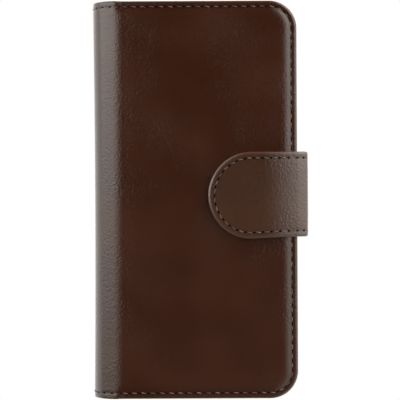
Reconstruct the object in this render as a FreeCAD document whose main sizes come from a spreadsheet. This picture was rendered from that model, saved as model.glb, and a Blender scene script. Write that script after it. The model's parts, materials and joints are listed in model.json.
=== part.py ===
"""Phone wallet case: a leather folder with a phone tray, card pockets and a magnetic strap.

The wallet lies closed on its back. +Z points out of the front cover, +Y along the spine
towards the top, and +X from the spine to the fore edge, where the strap wraps round.
The origin is the middle of the face that it lies on. Millimetres.
"""
import FreeCAD, Part
import math
import os

import Sketcher

# ---------------------------------------------------------------- driving dimensions
SIZES = {
    # the phone that the tray is made for
    "phone_length": 142.0,
    "phone_width": 69.5,
    "phone_thickness": 7.8,
    "phone_corner": 8.0,
    # the moulded tray
    "fit_gap": 0.2,
    "tray_wall": 1.1,
    "tray_floor": 1.2,
    "tray_lip": 0.8,
    "lip_overhang": 1.2,
    "tray_round": 2.5,
    "tray_edge_round": 0.5,
    "port_notch": 40.0,
    "key_notch": 26.0,
    "key_notch_middle": 32.0,
    "notch_sill": 1.5,
    # sheet thicknesses
    "leather": 1.0,
    "lining": 0.5,
    "back_board_thickness": 1.4,
    "front_board_thickness": 1.2,
    "foam_thickness": 1.0,
    "stiffener_thickness": 0.6,
    "adhesive_thickness": 0.3,
    "pocket_panel": 0.6,
    "bill_panel": 0.5,
    # the panels round the tray
    "end_margin": 2.95,
    "fore_margin": 0.7,
    "spine_clearance": 0.63,
    "closing_gap": 0.4,
    "corner_radius": 10.5,
    "turned_edge": 1.0,
    "edge_gap": 0.1,
    "split_gap": 0.3,
    # card and note pockets
    "pocket_inset": 1.2,
    "pocket_mouth": 40.0,
    "pocket_step": 14.0,
    # camera opening
    "camera_length": 24.0,
    "camera_width": 13.0,
    "camera_from_side": 19.0,
    "camera_from_top": 12.0,
    # stitching
    "thread": 0.5,
    "thread_depth": 0.3,
    "stitch_inset": 1.95,
    "strap_stitch_inset": 2.4,
    # the strap
    "strap_width": 33.0,
    "strap_shift": 1.5,
    "strap_overlap": 33.8,
    "strap_stand": 4.0,
    "strap_tail": 22.0,
    "strap_leather": 0.8,
    "strap_lining": 0.6,
    "strap_core": 1.0,
    "strap_gap": 0.4,
    "slot_gap": 0.2,
    "bend_radius": 3.9,
    "core_inset": 1.2,
    "core_back": 2.6,
    "magnet_diameter": 12.0,
    "catch_diameter": 14.0,
    "catch_thickness": 0.6,
}

CARD_POCKETS = 3

document = FreeCAD.newDocument("phone_wallet")


# ---------------------------------------------------------------- sizes as expressions
class Size:
    """A length that knows its value and the expression that gives it."""

    def __init__(self, text, value):
        self.text = text
        self.value = value

    def __add__(self, other):
        other = as_size(other)
        return Size(f"({self.text} + {other.text})", self.value + other.value)

    def __sub__(self, other):
        other = as_size(other)
        return Size(f"({self.text} - {other.text})", self.value - other.value)

    def __mul__(self, other):
        other = as_size(other)
        return Size(f"{self.text} * {other.text}", self.value * other.value)

    def __truediv__(self, other):
        other = as_size(other)
        return Size(f"{self.text} / {other.text}", self.value / other.value)

    def __neg__(self):
        return Size(f"(0 - {self.text})", -self.value)


def as_size(number):
    return number if isinstance(number, Size) else Size(str(number), float(number))


def square_root(size):
    return Size(f"sqrt({size.text})", math.sqrt(size.value))


def write_sheet(sizes):
    """Write the driving dimensions into a spreadsheet and return them as Size values."""
    sheet = document.addObject("Spreadsheet::Sheet", "Sizes")
    cells = {}
    for row, (name, number) in enumerate(sizes.items(), start=1):
        sheet.set(f"A{row}", name)
        sheet.set(f"B{row}", str(number))
        sheet.setAlias(f"B{row}", name)
        cells[name] = Size(f"Sizes.{name}", number)
    document.recompute()
    return cells


size = write_sheet(SIZES)
layout = document.addObject("App::VarSet", "Layout")
ZERO = as_size(0)


def derive(name, formula):
    """Keep a worked-out length in the document under its own name."""
    layout.addProperty("App::PropertyFloat", name, "Layout")
    layout.setExpression(name, formula.text)
    return Size(f"Layout.{name}", formula.value)


# ---------------------------------------------------------------- worked-out places
# From the resting face upwards: back panel, tray, pockets, front cover.
back_depth = derive("back_depth", size["leather"] + size["back_board_thickness"] + size["lining"])
lining_z = derive("lining_z", back_depth - size["lining"])
tray_z = derive("tray_z", back_depth + size["adhesive_thickness"])
tray_depth = derive("tray_depth", size["tray_floor"] + size["phone_thickness"])
tray_top = derive("tray_top", tray_z + tray_depth + size["tray_lip"])
pocket_z = derive("pocket_z", tray_top + size["closing_gap"])
bill_z = derive("bill_z", pocket_z + size["pocket_panel"] * CARD_POCKETS)
front_z = derive("front_z", bill_z + size["bill_panel"])
front_board_z = derive("front_board_z", front_z + size["lining"])
foam_z = derive("foam_z", front_board_z + size["front_board_thickness"])
front_leather_z = derive("front_leather_z", foam_z + size["foam_thickness"])
closed = derive("closed", front_leather_z + size["leather"])

# The spine is a half round as deep as the closed wallet.
spine_radius = derive("spine_radius", closed / 2)
spine_inner = derive("spine_inner", spine_radius - size["leather"] - size["stiffener_thickness"]
                     - size["lining"])
corner_reach = derive("corner_reach", spine_inner - size["spine_clearance"] - size["tray_round"])
corner_drop = derive("corner_drop", spine_radius - tray_z - size["tray_round"])
corner_back = derive("corner_back", square_root(corner_reach * corner_reach
                                                - corner_drop * corner_drop))

# Across the wallet: spine, tray, fore edge.
tray_width = derive("tray_width", size["phone_width"] + size["fit_gap"] * 2 + size["tray_wall"] * 2)
tray_length = derive("tray_length", size["phone_length"] + size["fit_gap"] * 2
                     + size["tray_wall"] * 2)
case_width = derive("case_width", size["fore_margin"] + tray_width + spine_radius
                    - size["tray_round"] - corner_back)
half_length = derive("half_length", tray_length / 2 + size["end_margin"])
fore_x = derive("fore_x", case_width / 2)
hinge_x = derive("hinge_x", spine_radius - fore_x)
tray_x = derive("tray_x", fore_x - size["fore_margin"] - tray_width / 2)

# The strap: under the back, round the fore edge and over the front cover.
strap_half = derive("strap_half", size["strap_width"] / 2)
strap_sheet = derive("strap_sheet", size["strap_leather"] + size["strap_lining"])
bend_x = derive("bend_x", fore_x + size["strap_stand"] - size["bend_radius"])
low_bend_z = derive("low_bend_z", size["leather"] + size["bend_radius"])
tip_z = derive("tip_z", closed + size["strap_gap"])
core_z = derive("core_z", tip_z + size["strap_lining"])
tip_leather_z = derive("tip_leather_z", core_z + size["strap_core"])
tip_top = derive("tip_top", tip_leather_z + size["strap_leather"])
high_bend_z = derive("high_bend_z", tip_top - size["bend_radius"])
tip_x = derive("tip_x", fore_x - size["strap_overlap"])
core_x = derive("core_x", bend_x - size["core_back"])
bend_middle = derive("bend_middle", size["bend_radius"] - size["strap_leather"])
bend_inner = derive("bend_inner", size["bend_radius"] - strap_sheet)
magnet_x = derive("magnet_x", tip_x + strap_half)

# Pockets and camera opening.
pocket_left = derive("pocket_left", hinge_x + size["pocket_inset"])
pocket_right = derive("pocket_right", fore_x - size["pocket_inset"])
pocket_half = derive("pocket_half", half_length - size["pocket_inset"])
camera_x = derive("camera_x", tray_x + size["phone_width"] / 2 - size["camera_from_side"])
camera_y = derive("camera_y", size["phone_length"] / 2 - size["camera_from_top"])

nodes = []


# ---------------------------------------------------------------- drawing and solids
def new_body(label, height=None):
    """A body whose placement lifts it to its height in the stack."""
    body = document.addObject("PartDesign::Body", label)
    body.Label = label
    if height is not None:
        body.setExpression("Placement.Base.z", height.text)
    return body


def new_strap_body(label, height=None):
    """A strap body: it is drawn about Y = 0 and shifted to where the strap sits."""
    body = new_body(label, height)
    body.setExpression("Placement.Base.y", size["strap_shift"].text)
    return body


def new_sketch(body, plane, height=None):
    """A sketch on one of the body's own origin planes, lifted along the plane's normal."""
    sketch = body.newObject("Sketcher::SketchObject", f"{body.Label}_sketch")
    support = [item for item in body.Origin.OriginFeatures if item.Role == plane][0]
    sketch.AttachmentSupport = (support, [""])
    sketch.MapMode = "FlatFace"
    if height is not None:
        sketch.setExpression("AttachmentOffset.Base.z", height.text)
    return sketch


def arc_between(start, end, radius, turn):
    """The shorter arc from start to end: turn is 1 anticlockwise, -1 clockwise."""
    (x0, y0), (x1, y1) = start, end
    chord = math.hypot(x1 - x0, y1 - y0)
    rise = math.sqrt(max(radius ** 2 - (chord / 2) ** 2, 0.0))
    centre_x = (x0 + x1) / 2 - turn * rise * (y1 - y0) / chord
    centre_y = (y0 + y1) / 2 + turn * rise * (x1 - x0) / chord
    angles = [math.atan2(y - centre_y, x - centre_x) for x, y in (start, end)]
    if turn < 0:
        angles.reverse()
    centre = FreeCAD.Vector(centre_x, centre_y, 0)
    circle = Part.Circle(centre, FreeCAD.Vector(0, 0, 1), radius)
    return Part.ArcOfCircle(circle, angles[0], angles[1])


def bind(sketch, constraint, length):
    index = sketch.addConstraint(constraint)
    sketch.setExpression(f"Constraints[{index}]", length.text)


def draw(sketch, path):
    """Draw a closed outline. A step is (x, y) after a line, or (x, y, radius, turn) after an arc."""
    first = sketch.GeometryCount
    ends = []
    for index, here in enumerate(path):
        there = path[(index + 1) % len(path)]
        start = (here[0].value, here[1].value)
        end = (there[0].value, there[1].value)
        if len(there) == 4:
            sketch.addGeometry(arc_between(start, end, there[2].value, there[3]))
            ends.append((1, 2) if there[3] > 0 else (2, 1))
            bind(sketch, Sketcher.Constraint("Radius", first + index, there[2].value), there[2])
        else:
            sketch.addGeometry(Part.LineSegment(FreeCAD.Vector(*start, 0), FreeCAD.Vector(*end, 0)))
            ends.append((1, 2))
    for index, here in enumerate(path):
        after = (index + 1) % len(path)
        sketch.addConstraint(Sketcher.Constraint(
            "Coincident", first + index, ends[index][1], first + after, ends[after][0]))
        for direction, length in (("DistanceX", here[0]), ("DistanceY", here[1])):
            bind(sketch, Sketcher.Constraint(
                direction, -1, 1, first + index, ends[index][0], length.value), length)
    return sketch


def extrude(body, kind, sketch, length, across=False, upward=False):
    """Pad or pocket a sketch, either from its plane or equally to both sides of it."""
    feature = body.newObject(f"PartDesign::{kind}", f"{body.Label}_{kind.lower()}")
    feature.Profile = sketch
    feature.setExpression("Length", length.text)
    if across:
        feature.SideType = "Symmetric"
    if upward:
        feature.Reversed = True
    body.Tip = feature
    return feature


def pad_flat(body, path, height, thickness):
    """Add a flat sheet whose underside is at the given height."""
    sketch = draw(new_sketch(body, "XY_Plane", height), path)
    return extrude(body, "Pad", sketch, thickness)


def cut_flat(body, path, top, depth):
    """Cut downwards from the given height."""
    sketch = draw(new_sketch(body, "XY_Plane", top), path)
    return extrude(body, "Pocket", sketch, depth)


def pad_across(body, path, width):
    """Add a sheet that is drawn in section and runs equally to +Y and -Y."""
    sketch = draw(new_sketch(body, "XZ_Plane"), path)
    return extrude(body, "Pad", sketch, width, across=True)


def cut_across(body, path, width):
    sketch = draw(new_sketch(body, "XZ_Plane"), path)
    return extrude(body, "Pocket", sketch, width, across=True)


def keep(piece):
    """Hand a finished piece to the export."""
    nodes.append(piece)
    return piece


def with_grooves(label, blank, threads):
    """The sheet with the row of thread let into it, flush with its face."""
    piece = document.addObject("Part::Cut", label)
    piece.Label = label
    piece.Base = blank
    piece.Tool = threads
    return keep(piece)


# ---------------------------------------------------------------- outlines seen from the front
def panel_path(left, right, half, radius):
    """A cover panel: square at the spine, rounded at the two fore corners."""
    return [
        (left, -half),
        (right - radius, -half),
        (right, radius - half, radius, 1),
        (right, half - radius),
        (right - radius, half, radius, 1),
        (left, half),
    ]


def panel_band(left, inset, width):
    """A band that follows the panel's three free edges at the given inset."""
    outer = size["corner_radius"] - inset
    inner = outer - width
    far = inset + width
    turn_x = fore_x - size["corner_radius"]
    turn_y = half_length - size["corner_radius"]
    return [
        (left, inset - half_length),
        (turn_x, inset - half_length),
        (fore_x - inset, -turn_y, outer, 1),
        (fore_x - inset, turn_y),
        (turn_x, half_length - inset, outer, 1),
        (left, half_length - inset),
        (left, half_length - far),
        (turn_x, half_length - far),
        (fore_x - far, turn_y, inner, -1),
        (fore_x - far, -turn_y),
        (turn_x, far - half_length, inner, -1),
        (left, far - half_length),
    ]


def rectangle_path(left, right, low, high):
    return [(left, low), (right, low), (right, high), (left, high)]


def rounded_path(middle_x, half_width, half_height, radius):
    """A rectangle with four rounded corners, centred on the line Y = 0."""
    left, right = middle_x - half_width, middle_x + half_width
    return [
        (left + radius, -half_height, radius, 1),
        (right - radius, -half_height),
        (right, radius - half_height, radius, 1),
        (right, half_height - radius),
        (right - radius, half_height, radius, 1),
        (left + radius, half_height),
        (left, half_height - radius, radius, 1),
        (left, radius - half_height),
    ]


def camera_path():
    """The long hole that the phone's camera looks through."""
    radius = size["camera_width"] / 2
    reach = size["camera_length"] / 2 - radius
    return [
        (camera_x - reach, camera_y - radius, radius, 1),
        (camera_x + reach, camera_y - radius),
        (camera_x + reach + radius, camera_y, radius, 1),
        (camera_x + reach, camera_y + radius, radius, 1),
        (camera_x - reach, camera_y + radius),
        (camera_x - reach - radius, camera_y, radius, 1),
    ]


def tongue_path(inset, right):
    """The strap's end: straight sides that run into a half round."""
    half = strap_half - inset
    return [
        (right, half),
        (magnet_x, half),
        (tip_x + inset, ZERO, half, 1),
        (magnet_x, -half, half, 1),
        (right, -half),
    ]


def tongue_band(inset, width, right):
    outer = strap_half - inset
    inner = outer - width
    return [
        (right, outer),
        (magnet_x, outer),
        (tip_x + inset, ZERO, outer, 1),
        (magnet_x, -outer, outer, 1),
        (right, -outer),
        (right, -inner),
        (magnet_x, -inner),
        (tip_x + inset + width, ZERO, inner, -1),
        (magnet_x, inner, inner, -1),
        (right, inner),
    ]


def strap_opening(left, right):
    """An opening as wide as the strap and its clearance."""
    half_slot = strap_half + size["slot_gap"]
    return rectangle_path(left, right, size["strap_shift"] - half_slot,
                          size["strap_shift"] + half_slot)


def disc_path(middle_x, middle_y, radius):
    return [
        (middle_x + radius, middle_y, radius, 1),
        (middle_x, middle_y + radius, radius, 1),
        (middle_x - radius, middle_y, radius, 1),
        (middle_x, middle_y - radius, radius, 1),
    ]


# ---------------------------------------------------------------- sections across the hinges
def split_offsets(radius):
    """Where an arc meets the hinge's split: the longer and the shorter of its two offsets."""
    gap = size["split_gap"] / 2
    along = square_root(radius * radius - gap * gap)
    diagonal = Size("sqrt(0.5)", math.sqrt(0.5))
    return (along + gap) * diagonal, (along - gap) * diagonal


def flap_path(centre_x, centre_z, outer, inner, side_x, side_z):
    """The half of a bend that belongs to the flat panel: from the split to the panel."""
    turn = side_x * side_z
    outer_long, outer_short = split_offsets(outer)
    inner_long, inner_short = split_offsets(inner)
    return [
        (centre_x + outer_short * side_x, centre_z + outer_long * side_z),
        (centre_x, centre_z + outer * side_z, outer, turn),
        (centre_x, centre_z + inner * side_z),
        (centre_x + inner_short * side_x, centre_z + inner_long * side_z, inner, -turn),
    ]


def spine_path(outer, inner):
    """The quarter round of the spine between its two splits."""
    outer_long, outer_short = split_offsets(outer)
    inner_long, inner_short = split_offsets(inner)
    return [
        (hinge_x - outer_long, spine_radius + outer_short),
        (hinge_x - outer_long, spine_radius - outer_short, outer, 1),
        (hinge_x - inner_long, spine_radius - inner_short),
        (hinge_x - inner_long, spine_radius + inner_short, inner, -1),
    ]


def strap_wall_path(outer, inner):
    """The strap's upright part between its two splits."""
    outer_long, outer_short = split_offsets(outer)
    inner_long, inner_short = split_offsets(inner)
    return [
        (bend_x + outer_long, low_bend_z - outer_short),
        (bend_x + outer, low_bend_z, outer, 1),
        (bend_x + outer, high_bend_z),
        (bend_x + outer_long, high_bend_z + outer_short, outer, 1),
        (bend_x + inner_long, high_bend_z + inner_short),
        (bend_x + inner, high_bend_z, inner, -1),
        (bend_x + inner, low_bend_z),
        (bend_x + inner_long, low_bend_z - inner_short, inner, -1),
    ]


def strap_root_path(outer, inner):
    """The strap's tail in the back panel, and its bend up to the split."""
    outer_long, outer_short = split_offsets(outer)
    inner_long, inner_short = split_offsets(inner)
    tail_x = fore_x - size["strap_tail"]
    return [
        (tail_x, low_bend_z - outer),
        (bend_x, low_bend_z - outer),
        (bend_x + outer_short, low_bend_z - outer_long, outer, 1),
        (bend_x + inner_short, low_bend_z - inner_long),
        (bend_x, low_bend_z - inner, inner, -1),
        (tail_x, low_bend_z - inner),
    ]


def thread_rows(body, path_of, outer, row_y):
    """Two rows of thread that run round a bend, let into its outer face."""
    path = path_of(outer, outer - size["thread_depth"])
    pad_across(body, path, row_y * 2 + size["thread"])
    cut_across(body, path, row_y * 2 - size["thread"])


# ---------------------------------------------------------------- back panel
def make_stitching(label, face_z, side_z):
    """The stitch row of one cover: round three edges and over its half of the spine bend."""
    threads = new_body(label)
    thread_rows(threads,
                lambda outer, inner: flap_path(hinge_x, spine_radius, outer, inner, -1, side_z),
                spine_radius, half_length - size["stitch_inset"])
    inset = size["stitch_inset"] - size["thread"] / 2
    pad_flat(threads, panel_band(hinge_x, inset, size["thread"]), face_z, size["thread_depth"])
    return keep(threads)


def make_cover_leather(label, panel_z, rim_z, rim_depth, side_z):
    """Outer leather of one cover: its face, the edges turned over the board, and its flap."""
    leather = new_body(label)
    pad_flat(leather, panel_path(hinge_x, fore_x, half_length, size["corner_radius"]),
             panel_z, size["leather"])
    pad_flat(leather, panel_band(hinge_x, ZERO, size["turned_edge"]), rim_z, rim_depth)
    pad_across(leather, flap_path(hinge_x, spine_radius, spine_radius,
                                  spine_radius - size["leather"], -1, side_z), half_length * 2)
    return leather


def make_hinge_lining(label, side_z):
    strip = new_body(label)
    outer = spine_radius - size["leather"]
    pad_across(strip, flap_path(hinge_x, spine_radius, outer, outer - size["lining"], -1, side_z),
               half_length * 2)
    return keep(strip)


def inner_panel(inset):
    """The outline of a layer that fills the panel inside the turned edge."""
    return panel_path(hinge_x, fore_x - inset, half_length - inset, size["corner_radius"] - inset)


def make_back_leather(threads):
    blank = make_cover_leather("back_leather_blank", ZERO, size["leather"],
                               back_depth - size["leather"], -1)
    slot = strap_opening(fore_x - size["turned_edge"] * 2, fore_x + size["turned_edge"])
    cut_flat(blank, slot, size["leather"] + strap_sheet, strap_sheet)
    cut_flat(blank, camera_path(), size["leather"], size["leather"])
    return with_grooves("back_leather", blank, threads)


def make_back_board():
    """Board with a notch for the strap's tail and the camera opening."""
    board = new_body("back_board", size["leather"])
    thickness = size["back_board_thickness"]
    pad_flat(board, inner_panel(size["turned_edge"] + size["edge_gap"]), ZERO, thickness)
    notch = strap_opening(fore_x - size["strap_tail"] - size["slot_gap"],
                          fore_x + size["slot_gap"])
    cut_flat(board, notch, thickness, thickness)
    cut_flat(board, camera_path(), thickness, thickness)
    return keep(board)


def make_back_lining():
    lining = new_body("back_lining", lining_z)
    pad_flat(lining, inner_panel(size["turned_edge"] + size["edge_gap"]), ZERO, size["lining"])
    cut_flat(lining, camera_path(), size["lining"], size["lining"])
    return keep(lining)


def make_tray_adhesive():
    """The sheet of adhesive that holds the tray, kept back from the tray's rounded edge."""
    sheet = new_body("tray_adhesive", back_depth)
    inset = size["tray_round"] + size["end_margin"]
    outline = rectangle_path(hinge_x + inset, tray_x + tray_width / 2 - inset,
                             inset - tray_length / 2, tray_length / 2 - inset)
    pad_flat(sheet, outline, ZERO, size["adhesive_thickness"])
    cut_flat(sheet, camera_path(), size["adhesive_thickness"], size["adhesive_thickness"])
    return keep(sheet)


# ---------------------------------------------------------------- phone tray
def outer_edge_names(shape, height):
    """The names of the edges round the outside of the flat face at this height."""
    names = []
    for face in shape.Faces:
        box = face.BoundBox
        if abs(box.ZMin - height) < 1e-6 and abs(box.ZMax - height) < 1e-6:
            for index, edge in enumerate(shape.Edges, start=1):
                if any(edge.isSame(other) for other in face.OuterWire.Edges):
                    names.append(f"Edge{index}")
    return names


def round_edges(body, height, radius):
    """Round the outside of the body's flat face at this height."""
    document.recompute()
    base = body.Tip
    fillet = body.newObject("PartDesign::Fillet", f"{body.Label}_round")
    fillet.Base = (base, outer_edge_names(base.Shape, height.value))
    fillet.setExpression("Radius", radius.text)
    body.Tip = fillet


def make_phone_tray():
    """Soft moulded tray: floor, walls, a lip that snaps over the phone, and its openings."""
    tray = new_body("phone_tray", tray_z)
    corner = size["phone_corner"] + size["fit_gap"]
    bay_half_width = size["phone_width"] / 2 + size["fit_gap"]
    bay_half_length = size["phone_length"] / 2 + size["fit_gap"]
    outside = rounded_path(tray_x, tray_width / 2, tray_length / 2, corner + size["tray_wall"])
    bay = rounded_path(tray_x, bay_half_width, bay_half_length, corner)
    over = size["lip_overhang"]
    mouth = rounded_path(tray_x, bay_half_width - over, bay_half_length - over, corner - over)
    pad_flat(tray, outside, ZERO, tray_depth)
    cut_flat(tray, bay, tray_depth, size["phone_thickness"])
    ring = draw(draw(new_sketch(tray, "XY_Plane", tray_depth), outside), mouth)
    extrude(tray, "Pad", ring, size["tray_lip"])
    top = tray_depth + size["tray_lip"]
    round_edges(tray, ZERO, size["tray_round"])
    round_edges(tray, top, size["tray_edge_round"])
    cut_flat(tray, camera_path(), size["tray_floor"], size["tray_floor"])

    notch_depth = top - size["tray_floor"] - size["notch_sill"]
    wall = size["tray_wall"] + over
    end_y = tray_length / 2
    half_port = size["port_notch"] / 2
    cut_flat(tray, rectangle_path(tray_x - half_port, tray_x + half_port, -end_y - wall,
                                  wall - end_y), top, notch_depth)
    half_key = size["key_notch"] / 2
    key_low = size["key_notch_middle"] - half_key
    key_high = size["key_notch_middle"] + half_key
    for side in (-1, 1):
        face_x = tray_x + tray_width / 2 * side
        cut_flat(tray, rectangle_path(face_x - wall, face_x + wall, key_low, key_high),
                 top, notch_depth)
    return keep(tray)


# ---------------------------------------------------------------- spine
def make_spine():
    outer = spine_radius
    threads = new_body("spine_stitching")
    thread_rows(threads, spine_path, outer, half_length - size["stitch_inset"])
    keep(threads)
    blank = new_body("spine_leather_blank")
    pad_across(blank, spine_path(outer, outer - size["leather"]), half_length * 2)
    with_grooves("spine_leather", blank, threads)

    board_outer = outer - size["leather"]
    board_inner = board_outer - size["stiffener_thickness"]
    stiffener = new_body("spine_stiffener")
    pad_across(stiffener, spine_path(board_outer, board_inner),
               (half_length - size["turned_edge"]) * 2)
    keep(stiffener)
    lining = new_body("spine_lining")
    pad_across(lining, spine_path(board_inner, spine_inner), half_length * 2)
    keep(lining)


# ---------------------------------------------------------------- front cover
def make_flat_layer(label, height, thickness):
    layer = new_body(label, height)
    pad_flat(layer, inner_panel(size["turned_edge"] + size["edge_gap"]), ZERO, thickness)
    return layer


def make_front_cover():
    threads = make_stitching("front_stitching", closed - size["thread_depth"], 1)
    blank = make_cover_leather("front_leather_blank", front_leather_z, front_z,
                               front_leather_z - front_z, 1)
    with_grooves("front_leather", blank, threads)
    make_hinge_lining("front_hinge_lining", 1)
    keep(make_flat_layer("front_lining", front_z, size["lining"]))
    keep(make_flat_layer("front_board", front_board_z, size["front_board_thickness"]))

    foam = make_flat_layer("front_foam", foam_z, size["foam_thickness"])
    middle_y = size["strap_shift"]
    well = disc_path(magnet_x, middle_y, size["catch_diameter"] / 2 + size["edge_gap"])
    cut_flat(foam, well, size["foam_thickness"], size["foam_thickness"])
    keep(foam)
    catch = new_body("catch_plate", foam_z)
    pad_flat(catch, disc_path(magnet_x, middle_y, size["catch_diameter"] / 2), ZERO,
             size["catch_thickness"])
    keep(catch)


def pocket_outline(mouth):
    """A pocket panel: its open edge straight across, its foot rounded with the cover."""
    radius = size["corner_radius"] - size["pocket_inset"]
    return [
        (pocket_left, -pocket_half),
        (pocket_right - radius, -pocket_half),
        (pocket_right, radius - pocket_half, radius, 1),
        (pocket_right, mouth),
        (pocket_left, mouth),
    ]


def make_pockets():
    """A full note pocket, and card pockets whose mouths step down from it."""
    bill = new_body("bill_pocket", bill_z)
    pad_flat(bill, panel_path(pocket_left, pocket_right, pocket_half,
                              size["corner_radius"] - size["pocket_inset"]),
             ZERO, size["bill_panel"])
    keep(bill)

    threads = new_body("pocket_stitching", pocket_z)
    last_mouth = size["pocket_mouth"] - size["pocket_step"] * (CARD_POCKETS - 1)
    inset = size["stitch_inset"]
    for row_x in (pocket_left + inset, pocket_right - inset - size["thread"]):
        row = rectangle_path(row_x, row_x + size["thread"],
                             size["corner_radius"] - pocket_half, last_mouth)
        pad_flat(threads, row, ZERO, size["thread_depth"])
    keep(threads)

    for number in range(1, CARD_POCKETS + 1):
        height = bill_z - size["pocket_panel"] * number
        mouth = size["pocket_mouth"] - size["pocket_step"] * (number - 1)
        label = f"card_pocket_{number}"
        lowest = number == CARD_POCKETS
        panel = new_body(f"{label}_blank" if lowest else label, height)
        pad_flat(panel, pocket_outline(mouth), ZERO, size["pocket_panel"])
        if lowest:
            with_grooves(label, panel, threads)
        else:
            keep(panel)


# ---------------------------------------------------------------- strap
def make_strap_root():
    """The tail that is glued in under the back board, up to the strap's first hinge."""
    outer = size["bend_radius"]
    leather = new_strap_body("strap_root_leather")
    pad_across(leather, strap_root_path(outer, bend_middle), size["strap_width"])
    keep(leather)
    lining = new_strap_body("strap_root_lining")
    pad_across(lining, strap_root_path(bend_middle, bend_inner), size["strap_width"])
    keep(lining)


def make_strap_side():
    """The upright part that wraps the fore edge."""
    outer = size["bend_radius"]
    threads = new_strap_body("side_stitching")
    thread_rows(threads, strap_wall_path, outer, strap_half - size["strap_stitch_inset"])
    keep(threads)
    blank = new_strap_body("side_leather_blank")
    pad_across(blank, strap_wall_path(outer, bend_middle), size["strap_width"])
    with_grooves("side_leather", blank, threads)
    lining = new_strap_body("side_lining")
    pad_across(lining, strap_wall_path(bend_middle, bend_inner), size["strap_width"])
    keep(lining)


def tip_flap(outer, inner):
    return flap_path(bend_x, high_bend_z, outer, inner, 1, 1)


def make_tip_lining():
    """Lining of the strap's end: it steps up round the core before it takes the bend."""
    outer_long, outer_short = split_offsets(bend_middle)
    inner_long, inner_short = split_offsets(bend_inner)
    lining = new_strap_body("tip_lining")
    section = [
        (core_x, tip_z),
        (bend_x, high_bend_z + bend_inner),
        (bend_x + inner_short, high_bend_z + inner_long, bend_inner, -1),
        (bend_x + outer_short, high_bend_z + outer_long),
        (bend_x, high_bend_z + bend_middle, bend_middle, 1),
        (core_x, core_z),
    ]
    pad_across(lining, section, size["strap_width"])
    pad_flat(lining, tongue_path(ZERO, core_x), tip_z, size["strap_lining"])
    keep(lining)


def make_strap_tip():
    """The rounded end: leather, core with its magnet, and lining."""
    outer = size["bend_radius"]
    threads = new_strap_body("tip_stitching")
    thread_rows(threads, tip_flap, outer, strap_half - size["strap_stitch_inset"])
    inset = size["strap_stitch_inset"] - size["thread"] / 2
    pad_flat(threads, tongue_band(inset, size["thread"], bend_x),
             tip_top - size["thread_depth"], size["thread_depth"])
    keep(threads)
    blank = new_strap_body("tip_leather_blank")
    pad_across(blank, tip_flap(outer, bend_middle), size["strap_width"])
    pad_flat(blank, tongue_path(ZERO, bend_x), tip_leather_z, size["strap_leather"])
    with_grooves("tip_leather", blank, threads)
    make_tip_lining()

    core = new_strap_body("tip_core", core_z)
    pad_flat(core, tongue_path(size["core_inset"], core_x), ZERO, size["strap_core"])
    well = disc_path(magnet_x, ZERO, size["magnet_diameter"] / 2 + size["edge_gap"])
    cut_flat(core, well, size["strap_core"], size["strap_core"])
    keep(core)
    magnet = new_strap_body("tip_magnet", core_z)
    pad_flat(magnet, disc_path(magnet_x, ZERO, size["magnet_diameter"] / 2), ZERO,
             size["strap_core"])
    keep(magnet)


# ---------------------------------------------------------------- build, check, write
def check_document():
    """Stop if any object failed or any piece is empty."""
    for item in document.Objects:
        if "Invalid" in item.State or "Error" in item.State:
            raise RuntimeError(f"{item.Label} failed: {item.State}")
    for piece in nodes:
        if piece.Shape.isNull() or not piece.Shape.isValid() or not piece.Shape.Solids:
            raise RuntimeError(f"{piece.Label} has no valid solid")


def build():
    make_back_leather(make_stitching("back_stitching", ZERO, -1))
    make_back_board()
    make_back_lining()
    make_hinge_lining("back_hinge_lining", -1)
    make_tray_adhesive()
    make_phone_tray()
    make_strap_root()
    make_spine()
    make_front_cover()
    make_pockets()
    make_strap_side()
    make_strap_tip()
    document.recompute()
    check_document()


def write_steps():
    os.makedirs("parts", exist_ok=True)
    for piece in nodes:
        piece.Shape.exportStep(f"parts/{piece.Label}.step")
        box = piece.Shape.BoundBox
        print(f"{piece.Label:22s} solids {len(piece.Shape.Solids)}"
              f" volume {piece.Shape.Volume:9.1f}"
              f" x {box.XMin:7.2f} {box.XMax:7.2f} y {box.YMin:7.2f} {box.YMax:7.2f}"
              f" z {box.ZMin:6.2f} {box.ZMax:6.2f}")


def print_axes():
    """The four hinge lines, each on the outer face of its bend."""
    diagonal = math.sqrt(0.5)
    spine, bend = spine_radius.value, size["bend_radius"].value
    print("spine_fold", hinge_x.value - spine * diagonal, spine * (1 - diagonal))
    print("cover_fold", hinge_x.value - spine * diagonal, spine * (1 + diagonal))
    print("strap_root", bend_x.value + bend * diagonal, low_bend_z.value - bend * diagonal)
    print("strap_bend", bend_x.value + bend * diagonal, high_bend_z.value + bend * diagonal)


build()
write_steps()
print_axes()
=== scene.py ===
# %% [markdown]
# # A phone wallet case
# The case is a folder of dark brown leather round a board, with a padded front, a half-round
# spine and a strap that shuts it with a magnet. The frame below comes from the CAD model: it
# says where every layer lies and how the four hinges turn. Everything that shows as leather
# is modelled here, round that frame, as leather is really worked: cut, turned, creased, sewn.

# %% Load the frame
import json
import math

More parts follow.
